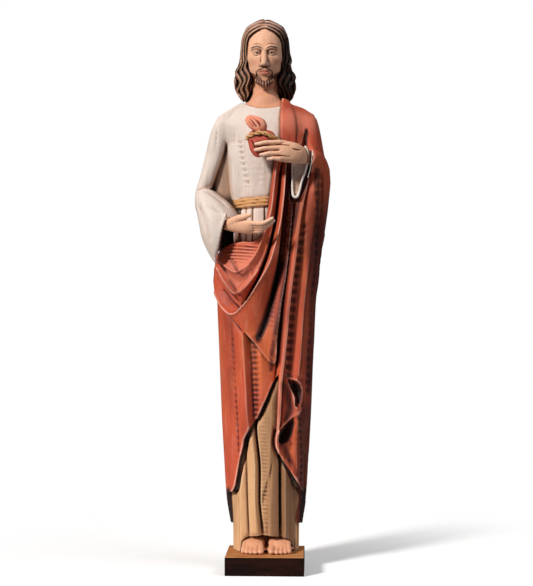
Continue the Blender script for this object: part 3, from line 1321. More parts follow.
for side in (-1, 1):
    ball(head, "skin", (side * 5.6, -48.5, NOSE_BASE + 3.0), (3.4, 4.2, 3.4), soft=1.8)
    ball(head, "skin", (side * 2.9, -52.0, NOSE_BASE - 0.8), (1.5, 2.0, 1.5), soft=0.8, carve=True)
    # lids: a heavy upper one, half lowered, and a thin lower one
    lid = mirrored(
        side,
        (EYE_APART - 7.6, -41.2, EYE_LEVEL - 1.9, 0.7),
        (EYE_APART - 3, -43.6, EYE_LEVEL + 0.5, 1.3),
        (EYE_APART + 2, -42.8, EYE_LEVEL + 0.6, 1.4),
        (EYE_APART + 7.6, -38.0, EYE_LEVEL - 1.8, 0.8),
    )
    tube(head, "skin", lid, 0.8)
    tube(head, "skin", [(x, y + 0.6, z + 2.0, r + 0.9) for x, y, z, r in lid], 1.2)
    low_lid = mirrored(
        side,
        (EYE_APART - 7.0, -41.4, EYE_LEVEL - 2.2, 0.6),
        (EYE_APART, -43.0, EYE_LEVEL - 4.2, 0.9),
        (EYE_APART + 7.0, -38.6, EYE_LEVEL - 2.2, 0.6),
    )
    tube(head, "skin", low_lid, 0.9)
ball(head, "skin", (0, -42.5, MOUTH_LEVEL), (13, 6.5, 8), soft=5)
for side in (-1, 1):
    upper_lip = mirrored(
        side,
        (0.6, -48.4, MOUTH_LEVEL + 2.2, 1.3),
        (4, -48.0, MOUTH_LEVEL + 2.6, 1.4),
        (12.5, -42.4, MOUTH_LEVEL + 0.4, 0.7),
    )
    tube(head, "skin", upper_lip, 1.0)
lower_lip = [(-10, -43.6, -0.8, 0.7), (-4, -47.6, -3, 1.9), (4, -47.6, -3, 1.9), (10, -43.6, -0.8, 0.7)]
tube(head, "skin", [(x, y, MOUTH_LEVEL + z, r) for x, y, z, r in lower_lip], 1.0)
mouth = [(-11, -44.6, -0.1, 0.5), (0, -50.4, -0.2, 0.6), (11, -44.6, -0.1, 0.5)]
tube(head, "skin", [(x, y, MOUTH_LEVEL + z, r) for x, y, z, r in mouth], 0.7, carve=True)
tube(head, "skin", [(0, -50.8, NOSE_BASE - 2, 0.8), (0, -51.0, MOUTH_LEVEL + 4.5, 1.2)], 1.5, carve=True)
# neck
tube(head, "skin", [(0, 0, -36, 24), (0, 1, -66, 23.5), (0, -3, -108, 27)], 5)
for side in (-1, 1):
    tube(head, "skin", mirrored(side, (22, -6, -50, 3), (14, -18, -78, 3), (4, -27, -100, 2.5)), 4)

# %% [markdown]
# ### Long wavy hair
# The hair is parted in the middle and falls in waves to the shoulders. A plain mass gives the
# silhouette, and over it lie many locks, each a bundle of three strands that start at the parting,
# pass the temple and swing from side to side on their way down.

# %% The mass of hair
HAIR = {
    "left": profile([
        (-88, 43), (-74, 55), (-54, 59), (-36, 57), (-16, 51), (-2, 46.5), (14, 44.5), (30, 42.5),
        (40, 39.5), (51, 33), (60, 23), (66, 9),
    ]),
    "right": profile([
        (-90, 46), (-74, 56), (-56, 57.5), (-40, 53), (-30, 49), (-16, 50), (-2, 45.5), (14, 43), (30, 41),
        (40, 38.5), (51, 32.5), (60, 22.5), (66, 9),
    ]),
    "front": profile([(-88, 26), (-50, 32), (-10, 40), (20, 49), (38, 47), (50, 39), (60, 24), (66, 9)]),
    "back": profile([(-88, 26), (-40, 34), (0, 38), (34, 37), (50, 30), (60, 19), (66, 8)]),
}
HAIR_AXIS = 8.0
HAIR_SINK = 4.5
flat_relief = Relief(HAIR, head.axes[2])
flat_relief.high -= HAIR_SINK
mass = column(head, HAIR, flat_relief, HAIR_AXIS)
z = head.axes[2]
mass = -softly(-mass, -np.maximum(z - 65, -90 - z)[None, None, :], 5.0).astype(np.float32)
head.paints["hair"] = mass
FACE_OPENING = [
    (-1, 47), (-9, 45), (-20, 39), (-28, 32), (-31.5, 25), (-32, 0), (-30.5, -32), (-25, -58), (-29, -72),
    (-38, -88), (-44, -120), (40, -120), (31, -88), (26, -60), (28, -30), (29.5, 0), (29, 25), (26, 32),
    (19, 39), (8, 45),
]
head.paints["hair"] = -softly(-mass, prism(head, FACE_OPENING, -BEYOND, 2.0), 2.0).astype(np.float32)


def scalp(turn, z, out=0.0):
    """A place on the hair: a turn in degrees from the front, a height and a distance out."""
    sine, cosine = math.sin(math.radians(turn)), math.cos(math.radians(turn))
    ahead = cosine > 0
    power = 2 / (FRONT_POWER if ahead else BACK_POWER)
    half = HAIR["left" if turn < 0 else "right"](z) + out
    depth = HAIR["front" if ahead else "back"](z) + out
    x = half * math.copysign(abs(sine) ** power, sine)
    return [x, HAIR_AXIS - depth * math.copysign(abs(cosine) ** power, cosine), z]


# %% Locks over the mass
HAIRLINE = [
    (0.8, 49.0), (9, 47.2), (20, 41.5), (28.5, 34.5), (33, 25), (34.5, 10), (34.2, -6), (33, -22),
    (30.5, -38), (29.0, -54), (31, -68), (38, -84),
]
CLIMB = [5.6, 5.8, 5.4, 4.4, 2.0, 0.6, 0, 0, 0, 0, 0, 0]
WIDEN = [0.0, 0.8, 2.8, 4.0, 4.4, 4.6, 5.4, 7.2, 9.0, 9.6, 8.0, 4.0]
LOCK_RUN = np.linspace(0, 11, 25)
LOCK_THICK = [1.6, 2.4, 2.6, 2.7, 2.6, 2.6, 3.0, 3.8, 4.3, 4.3, 3.4, 0.8]


def on_hair(x, z, out):
    """A place on the front of the hair, from its x and height."""
    half = HAIR["left" if x < 0 else "right"](z) + out
    share = min(abs(x) / half, 0.995) ** FRONT_POWER
    return [x, HAIR_AXIS - (HAIR["front"](z) + out) * (1 - share) ** (1 / FRONT_POWER), z]


def front_path(side, j):
    """The line of a front lock, or of the gap beside it where j lies between two locks."""
    path = []
    knots = range(len(HAIRLINE))
    for run in LOCK_RUN:
        px, pz, climb, widen = (np.interp(run, knots, row) for row in (*np.transpose(HAIRLINE), CLIMB, WIDEN))
        swing = unit((2 - pz) / 26) * (3.4 + 0.7 * j) * math.sin(pz / 5.8 + 0.8 * j + 0.9 * side)
        px = side * (px + widen * (j + 0.2) + swing)
        lift = 1.4 * math.sin(pz / 9.0 + 2.1 * j) * (pz < 0)
        path.append(on_hair(px, pz + climb * (j + 0.2), -1.6 + lift))
    return np.array(path)


for side in (-1, 1):
    for j in range(3):
        path = front_path(side, j)
        thick = np.interp(LOCK_RUN, range(12), LOCK_THICK) * (1.0, 0.9, 0.8)[j]
        tube(head, "hair", np.column_stack([path, thick]), 0.2, count=2)
        for across in (-0.42, 0.30):
            groove = path.copy()
            groove[:, 0] += side * across * thick * (np.abs(path[:, 0]) > 16)
            groove[:, 2] += across * thick * (np.abs(path[:, 0]) <= 30)
            groove[:, 1] -= 0.86 * thick
            groove = np.column_stack([groove, np.full(len(path), 0.55)])
            tube(head, "hair", groove, 0.5, count=2, carve=True)
LOCKS = [82, 97, 112, 128, 143, 158, 173]
locks = 0
for side in (-1, 1):
    for k, turn in enumerate(LOCKS):
        shift = chance.uniform(-1, 1)
        start_y = -13 + 41 * k / (len(LOCKS) - 1)
        top = 64.6 - 0.012 * (start_y - 4) ** 2
        swing = [0, 0, 2, -5, 6, -6, 5, -3]
        drop_to = -86 + 3 * chance.uniform(-1, 1)
        levels_down = [50, 34, 16, -4, -24, -44, -64, drop_to]
        path = [[side * 1.6, start_y, top]]
        path.append([side * 10, start_y, top - 2.0])
        for z_at, sway in zip(levels_down, swing):
            near = 0.82 if z_at > 40 else 1.0
            wave = sway * (1 + 0.25 * shift) * (1.0 if k < 4 else 0.6)
            out = -1.6 + 0.9 * math.sin(z_at / 9.0 + k)
            path.append(scalp(side * (turn * near + wave), z_at + 2.0 * shift, out))
        path = np.array(path)
        thick = np.interp(np.arange(len(path)), [0, 2, 5, 8, 9], [2.0, 3.0, 3.4, 3.2, 1.4])
        lock_run = np.arange(len(path))
        for strand in range(3):
            phase = 2.1 * strand + 0.8 * lock_run
            ahead = np.gradient(path, axis=0)
            outward = path - np.array([0, HAIR_AXIS, 0]) * [1, 1, 0] - [0, 0, 1] * path[:, 2:3]
            outward /= np.linalg.norm(outward, axis=1)[:, None] + 1e-6
            beside = np.cross(ahead, outward)
            beside /= np.linalg.norm(beside, axis=1)[:, None] + 1e-6
            spread = np.interp(lock_run, [0, 2, 5, 9], [0.8, 2.2, 2.6, 0.6])[:, None]
            shape = path + beside * spread * np.cos(phase)[:, None] + outward * 0.9 * np.sin(phase)[:, None]
            tube(head, "hair", np.column_stack([shape, thick * (0.80, 0.45, 0.62)[strand]]), 0.3, count=3)
        locks += 1
PARTING = [(0, -34, 50, 0.5), (0, -18, 60.5, 0.7), (0, 6, 66, 0.8), (0, 26, 61, 0.5)]
tube(head, "hair", PARTING, 1.2, carve=True)
print(locks, "locks of hair")

# %% [markdown]
# ### Beard and moustache
# The beard is short and ends in two small points. Its locks run down the jaw and curl inwards at the
# chin; the moustache parts under the nose and meets them.

# %% Beard
for side in (-1, 1):
    for k in range(9):
        share_k = k / 8
        start = np.array([side * (25.5 - 20 * share_k**0.8), -17 - 22 * share_k**0.7, -17 - 18 * share_k])
        end = np.array([side * (19.5 - 16 * share_k), -25 - 16 * share_k**0.8, -42 - 19 * share_k**0.8])
        mid = (start + end) / 2 + np.array([side * 2.2, -3.4, -1])
        tube(head, "hair", [(*start, 1.4), (*mid, 2.9), (*end, 1.1)], 0.5)
    for x, y, lean in ((2.2, -46.0, 0.6), (6.4, -45.0, 2.2), (10.6, -42.5, 3.6), (14.6, -39.0, 5.0)):
        curl = mirrored(
            side,
            (x, y + 1.5, -48 + x * 0.35, 1.3),
            (x + 0.8, y - 0.6, -54 + x * 0.45, 2.1),
            (x - 0.2 * lean, y + 2.5, -60.5 + x * 0.55, 1.7),
            (x - 0.7 * lean, y + 5.5, -63.5 + x * 0.6, 0.8),
        )
        tube(head, "hair", curl, 0.5)
    moustache = mirrored(
        side,
        (2.2, -50.4, NOSE_BASE - 4.2, 0.7),
        (8.0, -48.0, NOSE_BASE - 5.4, 1.4),
        (14.0, -43.0, MOUTH_LEVEL + 0.4, 1.5),
        (17.0, -39.0, MOUTH_LEVEL - 7, 1.2),
    )
    tube(head, "hair", moustache, 0.5)
    for lift in (0.0, 1.1):
        brow_rows = (
            (5.5, -46.6, 11.6 + lift, 0.6), (13, -46.0, 15.0 + lift, 1.0), (23.5, -38.6, 12.0 + lift, 0.5),
        )
        tube(head, "skin", mirrored(side, *brow_rows), 0.5)

# %% [markdown]
# ## From distances to a mesh
# The zero surface of each block is drawn by the OpenVDB library that Blender carries. The result is
# dense, so the Decimate modifier removes the triangles that flat parts don't need. Each block keeps
# its own share, because a face or a finger needs more of them than the back of a robe.

# %% Drawing the surfaces
BUDGET = {"body": 106000, "head": 46000, "held": 17000, "right_hand": 8000, "feet": 8000}


def plain_mesh(name, points, triangles):
    mesh = bpy.data.meshes.new(name)
    mesh.vertices.add(len(points))
    mesh.vertices.foreach_set("co", points.astype(np.float32).ravel())
    mesh.loops.add(triangles.size)
    mesh.loops.foreach_set("vertex_index", triangles.astype(np.int32).ravel())
    mesh.polygons.add(len(triangles))
    mesh.polygons.foreach_set("loop_start", np.arange(0, triangles.size, 3, dtype=np.int32))
    mesh.update(calc_edges=True)
    mesh.validate()
    return mesh


def largest_body(triangles, count):
    """The triangles of the biggest connected part: crumbs left by the gouge are brushed off."""
    label = np.arange(count)
    while True:
        before = label.copy()
        least = label[triangles].min(1)
        for k in range(3):
            np.minimum.at(label, triangles[:, k], least)
        label = label[label]
        if (label == before).all():
            break
    part = label[triangles[:, 0]]
    return triangles[part == np.bincount(part).argmax()]


def finished(piece, *changes):
    """The piece with modifiers applied: each change is a modifier's type and its settings."""
    for kind, settings in changes:
        modifier = piece.modifiers.new(kind, kind)
        for key, value in settings.items():
            setattr(modifier, key, value)
    graph = bpy.context.evaluated_depsgraph_get()
    mesh = bpy.data.meshes.new_from_object(piece.evaluated_get(graph))
    piece.modifiers.clear()
    old = piece.data
    piece.data = mesh
    bpy.data.meshes.remove(old)
    return piece


def carved(name, block):
    """The surface of a block, in figure units, with about as many triangles as its budget."""
    solid = np.minimum.reduce(list(block.paints.values()))
    for edge in (np.s_[0], np.s_[-1], np.s_[:, 0], np.s_[:, -1], np.s_[:, :, 0], np.s_[:, :, -1]):
        solid[edge] = np.maximum(solid[edge], 0.5 * block.step)
    grid = openvdb.FloatGrid(FAR)
    grid.copyFromArray(np.ascontiguousarray(solid, np.float32))
    points, triangles, quads = grid.convertToPolygons(isovalue=0.0, adaptivity=0.0)
    corners = np.concatenate([triangles, quads[:, [0, 1, 2]], quads[:, [0, 2, 3]]]).astype(int)
    corners = largest_body(corners, len(points))
    used, corners = np.unique(corners, return_inverse=True)
    corners = corners.reshape(-1, 3)
    mesh = plain_mesh(name, points[used] * block.step + block.low, corners)
    piece = bpy.data.objects.new(name, mesh)
    bpy.context.collection.objects.link(piece)
    dense = len(corners)
    finished(piece, ("DECIMATE", {"ratio": min(1.0, BUDGET[name] / dense)}))
    print(f"{name}: {dense} triangles, now {len(piece.data.polygons)}")
    return piece


def corners_of(mesh):
    points = np.empty(len(mesh.vertices) * 3, np.float32)
    mesh.vertices.foreach_get("co", points)
    return points.reshape(-1, 3).astype(float)


def move_corners(mesh, points):
    mesh.vertices.foreach_set("co", points.astype(np.float32).ravel())
    mesh.update()


pieces = {
    name: carved(name, block)
    for name, block in (
        ("body", body),
        ("head", head),
        ("held", held),
        ("right_hand", right_hand),
        ("feet", feet),
    )
}

# %% [markdown]
# ### Thorns on the ring
# Small thorns repeat round the heart's ring, so Geometry Nodes set them: points at even steps along
# the ring's line, a cone on each, turned outwards with a little chance.

# %% Thorns
def added(tree, kind, **settings):
    """A new node with its settings."""
    made = tree.nodes.new(kind)
    for key, value in settings.items():
        setattr(made, key, value)
    return made


thorn_tree = bpy.data.node_groups.new("thorns_on_ring", "GeometryNodeTree")
face = thorn_tree.interface
face.new_socket("Geometry", in_out="INPUT", socket_type="NodeSocketGeometry")
sizes_in = {}
for label, kind, value in (
    ("Spacing", "NodeSocketFloat", 8.0),
    ("Length", "NodeSocketFloat", 7.6),
    ("Radius", "NodeSocketFloat", 1.7),
    ("Wildness", "NodeSocketFloat", 14.0),
    ("Seed", "NodeSocketInt", 5),
):
    sizes_in[label] = (face.new_socket(label, in_out="INPUT", socket_type=kind), value)
face.new_socket("Geometry", in_out="OUTPUT", socket_type="NodeSocketGeometry")
given = added(thorn_tree, "NodeGroupInput").outputs
result = added(thorn_tree, "NodeGroupOutput").inputs
dots = added(thorn_tree, "GeometryNodeCurveToPoints", mode="LENGTH")
cone = added(thorn_tree, "GeometryNodeMeshCone")
cone.inputs["Vertices"].default_value = 7
cone.inputs["Radius Top"].default_value = 0.15
where = added(thorn_tree, "GeometryNodeInputPosition")
outwards = added(thorn_tree, "ShaderNodeVectorMath", operation="SUBTRACT")
outwards.inputs[1].default_value = (RING_X, RING_Y, RING_Z)
wild = added(thorn_tree, "FunctionNodeRandomValue", data_type="FLOAT_VECTOR")
wild.inputs["Min"].default_value = (-1, -1, -1)
wild.inputs["Max"].default_value = (1, 1, 1)
spread_out = added(thorn_tree, "ShaderNodeVectorMath", operation="SCALE")
aim = added(thorn_tree, "ShaderNodeVectorMath")
turn_to = added(thorn_tree, "FunctionNodeAlignRotationToVector", axis="Z")
each = added(thorn_tree, "GeometryNodeInstanceOnPoints")
real = added(thorn_tree, "GeometryNodeRealizeInstances")
painting = added(thorn_tree, "GeometryNodeSetMaterial")
painting.inputs["Material"].default_value = bpy.data.materials.new("painted_wood_ring")
for source, target in (
    (given["Geometry"], dots.inputs["Curve"]),
    (given["Spacing"], dots.inputs["Length"]),
    (given["Radius"], cone.inputs["Radius Bottom"]),
    (given["Length"], cone.inputs["Depth"]),
    (where.outputs[0], outwards.inputs[0]),
    (given["Seed"], wild.inputs["Seed"]),
    (wild.outputs[0], spread_out.inputs[0]),
    (given["Wildness"], spread_out.inputs["Scale"]),
    (outwards.outputs[0], aim.inputs[0]),
    (spread_out.outputs[0], aim.inputs[1]),
    (aim.outputs[0], turn_to.inputs["Vector"]),
    (dots.outputs["Points"], each.inputs["Points"]),
    (cone.outputs["Mesh"], each.inputs["Instance"]),
    (turn_to.outputs["Rotation"], each.inputs["Rotation"]),
    (each.outputs["Instances"], real.inputs["Geometry"]),
    (real.outputs["Geometry"], painting.inputs["Geometry"]),
    (painting.outputs["Geometry"], result["Geometry"]),
):
    thorn_tree.links.new(source, target)

ring_line = bpy.data.curves.new("ring_line", "CURVE")
ring_line.dimensions = "3D"
spline = ring_line.splines.new("POLY")
spline.points.add(len(ring) - 1)
spline.points.foreach_set("co", np.column_stack([ring, np.ones(len(ring))]).astype(np.float32).ravel())
ring_piece = bpy.data.objects.new("thorns", ring_line)
bpy.context.collection.objects.link(ring_piece)
placing = ring_piece.modifiers.new("thorns_on_ring", "NODES")
placing.node_group = thorn_tree
for socket, value in sizes_in.values():
    placing[socket.identifier] = value
thorn_mesh = bpy.data.meshes.new_from_object(
    ring_piece.evaluated_get(bpy.context.evaluated_depsgraph_get())
)
bpy.data.objects.remove(ring_piece)
thorn_mesh.materials.clear()
pieces["thorns"] = bpy.data.objects.new("thorns", thorn_mesh)
bpy.context.collection.objects.link(pieces["thorns"])
print("thorns:", len(thorn_mesh.polygons), "faces")

# %% [markdown]
# ### One solid
# The real figure is a single carving, so the parts are joined into one closed surface. The head is
# bowed first. Blender's manifold solver joins dense closed meshes quickly.

# %% Bow the head and join the parts
bow = turned((HEAD_BOW, 0, 0))
move_corners(pieces["head"].data, corners_of(pieces["head"].data) @ bow.T + HEAD_CENTRE)
figure = pieces.pop("body")
for part in pieces.values():
    finished(figure, ("BOOLEAN", {"operation": "UNION", "solver": "MANIFOLD", "object": part}))
    bpy.data.objects.remove(part)
figure.name = figure.data.name = "carved_figure"
spots = corners_of(figure.data)
print("the figure has", len(figure.data.polygons), "faces and", len(spots), "corners")

# %% [markdown]
# ## Where each paint goes
# For every corner of the mesh, the blocks say how deep each paint lies there. The difference between
# one paint and its nearest rival is kept as an attribute: zero on the border, positive inside. A
# shader can cut such a value sharply even between two corners, so the painted borders stay crisp.
# The names start with "paint_", because the renderer keeps "flame" for smoke and fire.

# %% Paint borders as attributes


def sampled(block, field, at):
    """The field between its grid points, and FAR outside the block."""
    place = (at - block.low) / block.step
    size = np.array(field.shape)
    inside = ((place >= 0) & (place <= size - 1.001)).all(1)
    place = np.clip(place, 0, size - 1.001)
    corner = place.astype(int)
    part = place - corner
    value = np.zeros(len(at))
    for dx in (0, 1):
        for dy in (0, 1):
            for dz in (0, 1):
                weight = np.ones(len(at))
                for axis, d in enumerate((dx, dy, dz)):
                    weight *= part[:, axis] if d else 1 - part[:, axis]
                value += weight * field[corner[:, 0] + dx, corner[:, 1] + dy, corner[:, 2] + dz]
    return np.where(inside, value, FAR)


def stored(mesh, name, values):
    attribute = mesh.attributes.new(name, "FLOAT", "POINT")
    attribute.data.foreach_set("value", np.asarray(values, np.float32))


head_spots = (spots - HEAD_CENTRE) @ bow
PAINT_NAMES = ("tunic", "mantle", "skin", "hair", "heart", "thorns", "flame")
depth = {name: np.full(len(spots), FAR) for name in PAINT_NAMES}
BLOCKS = ((body, spots), (head, head_spots), (held, spots), (right_hand, spots), (feet, spots))
for block, at in BLOCKS:
    for name, field in block.paints.items():
        depth[name] = np.minimum(depth[name], sampled(block, field, at))
for name in depth:
    rivals = np.minimum.reduce([depth[other] for other in depth if other != name])
    stored(figure.data, "paint_" + name, np.clip(rivals - depth[name], -5, 5))

BELT_WIDTH = 17.2
px, py, pz = spots.T
belt_edge = np.interp(px, [-70, 0, 14], [-3.5, 0, 2]) + BELT_LOW
belt = np.minimum(pz - belt_edge, belt_edge + BELT_WIDTH - pz)
on_torso = (py > -14 - 62 * np.sqrt(unit(1 - (px / 66) ** 2))) & (py < 20)
belt = np.where((px > -64) & (px < 22) & on_torso & (depth["tunic"] < 1.5), belt, -5)
stored(figure.data, "paint_belt", np.clip(belt, -5, 5))

# %% [markdown]
# ### Where the glaze was left thick
# The painter left the glaze thick in the mantle's long valleys, in the ladder of scoops and towards
# the side that is turned away, and nearly black under the lower corners. These places are drawn as
# lines of the front view, and every spot near one gets its share.

# %% Thick glaze
B_GROOVE = [(48, 715), (42, 655), (37, 575), (31, 536), (19, 492), (14, 472), (2, 430), (-12, 397)]
RUNGS = 15.3
GLAZE_LINES = [
    (B_GROOVE[:4], 3.5, 1.3, 0),
    (B_GROOVE[3:], 8.0, 1.35, 0),
    (
        [(53, 716), (50, 655), (46, 590), (42, 545), (36, 500), (28, 450), (20, 405), (14, 372), (13, 340)],
        6.0, 0.95, 0,
    ),
    ([(57, 740), (62, 700), (60, 650), (52, 600), (46, 545), (38, 480), (31, 420), (26, 352)], 5.0, 0.9, 0),
    (VALLEY_BESIDE_ROLL, 6.5, 1.0, RUNGS),
    (DARK_VALLEY, 7.5, 1.2, RUNGS),
    ([(103, 640), (102, 560), (97, 480), (90, 400), (86, 300), (82, 200)], 7.0, 0.6, 0),
    (COMB, 7.0, 0.75, 9.6),
    ([(64, 252), (67, 213), (69, 177), (67, 118)], 8.0, 1.1, 12.8),
    ([(36, 312), (42, 292), (48, 268), (40, 250)], 10.0, 0.85, 0),
    ([(32, 205), (38, 185), (48, 165), (60, 145)], 8.0, 0.9, 0),
    ([(27, 700), (22, 650), (16, 600), (4, 556), (-10, 526)], 3.0, 0.7, 0),
    ([(-62, 540), (-50, 520), (-40, 512), (-24, 524)], 4.0, 0.7, 0),
    ([(-34, 468), (-14, 503), (-1, 535), (9, 563), (21, 614)], 3.4, 1.2, 0),
    ([(-66, 505), (-50, 484), (-38, 470)], 4.0, 0.6, 0),
    ([(77, 784), (75, 752)], 3.0, 1.4, 0),
    ([(60, 645), (56, 620), (50, 590)], 7.0, 1.1, 0),
]
# the same for the pale tunic, where the glaze is a warm tan
TAN_LINES = [
    ([(-124, 675), (-114, 679), (-102, 685), (-92, 692), (-84, 704)], 3.5, 0.75),
    ([(-108, 671), (-94, 664), (-78, 652), (-68, 644)], 3.5, 0.50),
    ([(-124, 660), (-114, 634), (-102, 612)], 3.5, 0.45),
    ([(-118, 626), (-108, 596), (-98, 566)], 4.0, 0.40),
    ([(-98, 664), (-84, 650), (-72, 630)], 8.0, 0.45),
    ([(-66, 740), (-64, 700), (-62, 650)], 5.0, 0.55),
    ([(24, 740), (13, 690), (6, 650)], 5.0, 0.5),
    ([(-2, 735), (10, 725), (26, 716)], 7.0, 0.5),
    ([(36, 160), (40, 100), (42, 30)], 18.0, 0.85),
    ([(-52, 140), (-58, 60), (-58, 10)], 8.0, 0.5),
    ([(-60, 638), (8, 640)], 4.5, 0.5),
    ([(-58, 578), (-2, 580)], 10.0, 0.75),
    ([(62, 738), (63, 702), (57, 672)], 7.0, 0.9),
    ([(-48, 14), (-30, 34), (0, 38), (34, 34), (52, 12)], 4.0, 0.8),
    ([(-18, 260), (-17.5, 229), (-10.5, 165), (-10.5, 89), (-4.5, 35)], 2.6, 1.2),
    ([(28.5, 185), (28.5, 103), (29.5, 20)], 3.0, 1.6),
    ([(-36, 186), (-34.6, 103), (-31, 20)], 2.2, 0.9),
    ([(0, 100), (2, 60), (3, 20)], 6.0, 0.6),
    (shifted(SKIRT_LEFT[:-1], 3.0), 4.0, 1.8),
    (shifted(SKIRT_RIGHT, -3.0), 3.6, 1.8),
]


def line_distance(points, line):
    best = np.full(len(points), 1e3)
    for a, b in zip(line[:-1], line[1:]):
        step = np.subtract(b, a)
        t = unit(((points - a) @ step) / (step @ step))
        best = np.minimum(best, np.linalg.norm(points - a - t[:, None] * step, axis=1))
    return best


def rising(value, start, end):
    """Zero up to the start and one past the end; the start may be the larger of the two."""
    return unit((value - start) / (end - start))


flat_spots = spots[:, [0, 2]]
facing = rising(py, 22, 7)
thick_glaze = np.zeros(len(spots))
for line, width, share_most, pitch in GLAZE_LINES:
    near_line = share_most * np.exp(-((line_distance(flat_spots, line) / width) ** 2))
    if pitch:
        down = -pz + 1.3 * np.sin(pz / 17.0 + line[0][0])
        near_line *= 0.55 + 0.45 * np.abs(np.sin(math.pi * down / pitch)) ** 0.7
    thick_glaze = np.maximum(thick_glaze, near_line)
for outline in (UPPER_HOLLOW, LOWER_HOLLOW):
    deep_in = unit(0.4 - outline_distance(px, pz, outline) / 4)
    thick_glaze = np.maximum(thick_glaze, 1.6 * deep_in)
thick_glaze = thick_glaze * facing
shaded_side = 0.9 * rising(px, 40, 92) ** 1.4 * rising(pz, 750, 600)
low_right = 0.9 * rising(px, 42, 68) * rising(pz, 350, 260)
thick_glaze = np.maximum(thick_glaze, np.maximum(shaded_side, low_right) * rising(py, 44, 28))
left_corner = line_distance(flat_spots, [(-70, 108), (-65, 52)]) / 7
right_corner = line_distance(flat_spots, [(70, 108), (68, 52)]) / 9
in_corner = 1.6 * np.exp(-(np.minimum(left_corner, right_corner) ** 2))
thick_glaze = np.maximum(thick_glaze, in_corner * rising(py, 52, 40))
stored(figure.data, "thick_glaze", thick_glaze)
tan_glaze = np.zeros(len(spots))
for line, width, share_most in TAN_LINES:
    tan_glaze = np.maximum(
        tan_glaze, share_most * np.exp(-((line_distance(flat_spots, line) / width) ** 2)),
    )
ARMPIT_SHADE = [(-74.6, 758), (-88, 718), (-101, 684), (-86, 668), (-61.5, 642), (-68, 696)]
in_armpit = unit(0.6 - outline_distance(px, pz, ARMPIT_SHADE) / 7)
tan_glaze = np.maximum(tan_glaze, 1.14 * in_armpit)
tan_glaze = np.maximum(tan_glaze, 1.06 * rising(px, -34, 28) * rising(pz, 440, 380))
inside_sleeve = unit(0.5 - outline_distance(px, pz, SLEEVE_END) / 3)
tan_glaze = np.maximum(tan_glaze, 2.0 * inside_sleeve * rising(py, -40, -20))
stored(figure.data, "tan_glaze", tan_glaze * facing)
# where the paint was wiped paler, on the swag and the left shoulder
pale_paint = np.zeros(len(spots))
for x, z, reach in ((-50, 522, 34), (44, 800, 22), (82, 800, 22), (24, 560, 14), (-20, 545, 16)):
    pale_paint += np.exp(-(((px - x) ** 2 + (pz - z) ** 2) / reach**2))
stored(figure.data, "pale_paint", unit(pale_paint) * facing)

# %% [markdown]
# ### Gaps and crests of the front locks
# The gaps between the front locks are black and their crests are picked out in a light brown, each
# along the same line as the lock itself.

# %% Lines in the hair
hair_gap = np.zeros(len(spots))
hair_crest = np.zeros(len(spots))
for side in (-1, 1):
    for values, j, width in (
        (hair_gap, -0.42, 1.6),
        (hair_gap, 0.52, 1.2),
        (hair_gap, 1.50, 1.2),
        (hair_gap, 2.55, 1.3),
        (hair_crest, 0.02, 1.3),
        (hair_crest, 1.0, 1.3),
        (hair_crest, 2.0, 1.4),
    ):
        drawn = (front_path(side, j) @ bow.T + HEAD_CENTRE)[:, [0, 2]]
        near_it = np.flatnonzero((pz > 830) & (py < 12) & (px * side > -3))
        widened = width * (1.5 if side > 0 and values is hair_gap else 1.0)
        part = np.exp(-((line_distance(flat_spots[near_it], drawn) / widened) ** 2))
        part *= 0.62 if side > 0 and values is hair_crest else 1.0
        values[near_it] = np.maximum(values[near_it], part)
hx, hy, hz = head_spots.T
shaded_hair = rising(hx, 14, 36) * rising(hz, 52, 28)
hair_gap = np.maximum(hair_gap, 0.52 * shaded_hair * rising(hy, 12, 0))
stored(figure.data, "hair_gap", hair_gap)
stored(figure.data, "hair_crest", hair_crest)


# %% [markdown]
# ### Hollows and edges
# A painter wipes a dark glaze over the dry paint, so it stays in the cuts, and hands wear the edges
# pale. How hollow a place is can be counted in the blocks: more than half wood in a small cube round
# a corner means a cut, less than half means an edge. Three sizes of cube tell a gouge mark from a
# deep fold.

# %% Count the wood round every corner
HOLLOW_REACH = {"fine": 2.0, "middle": 4.5, "wide": 12.0}


def averaged(values, reach):
    """The mean over a cube, by running sums along each axis."""
    for axis in range(3):
        count = values.shape[axis]
        room = [(reach + 1, reach) if k == axis else (0, 0) for k in range(3)]
        total = np.cumsum(np.pad(values, room, mode="edge"), axis=axis, dtype=np.float32)
        total = np.moveaxis(total, axis, 0)
        values = np.moveaxis((total[2 * reach + 1 :] - total[:count]) / (2 * reach + 1), 0, axis)
    return values


hollow = {name: np.zeros(len(spots)) for name in HOLLOW_REACH}
for block, at in BLOCKS:
    wood = np.minimum.reduce(list(block.paints.values()))
    wood = unit(0.5 - wood / block.step)
    for name, reach in HOLLOW_REACH.items():
        wood = averaged(wood, max(1, int(round(reach / block.step))))
        found = sampled(block, wood, at)
        hollow[name] += np.where(found > 1.5, 0, found)
in_neck = np.exp(-(((pz - 862) / 9) ** 4)) * (np.abs(px) < 34) * (depth["skin"] < 1.5)
for name, values in hollow.items():
    values += in_neck * (0.5 - values)
    stored(figure.data, "hollow_" + name, unit(values) - 0.5)
    print(name, "hollows:", np.round(np.percentile(unit(values) - 0.5, [5, 50, 95]), 3))

# %% [markdown]
# ### Painted details of the face
# Eyes, brows, lips and a little colour on the cheeks are painted, so they are marks on the head's
# front, on the same levels as the carved ones.

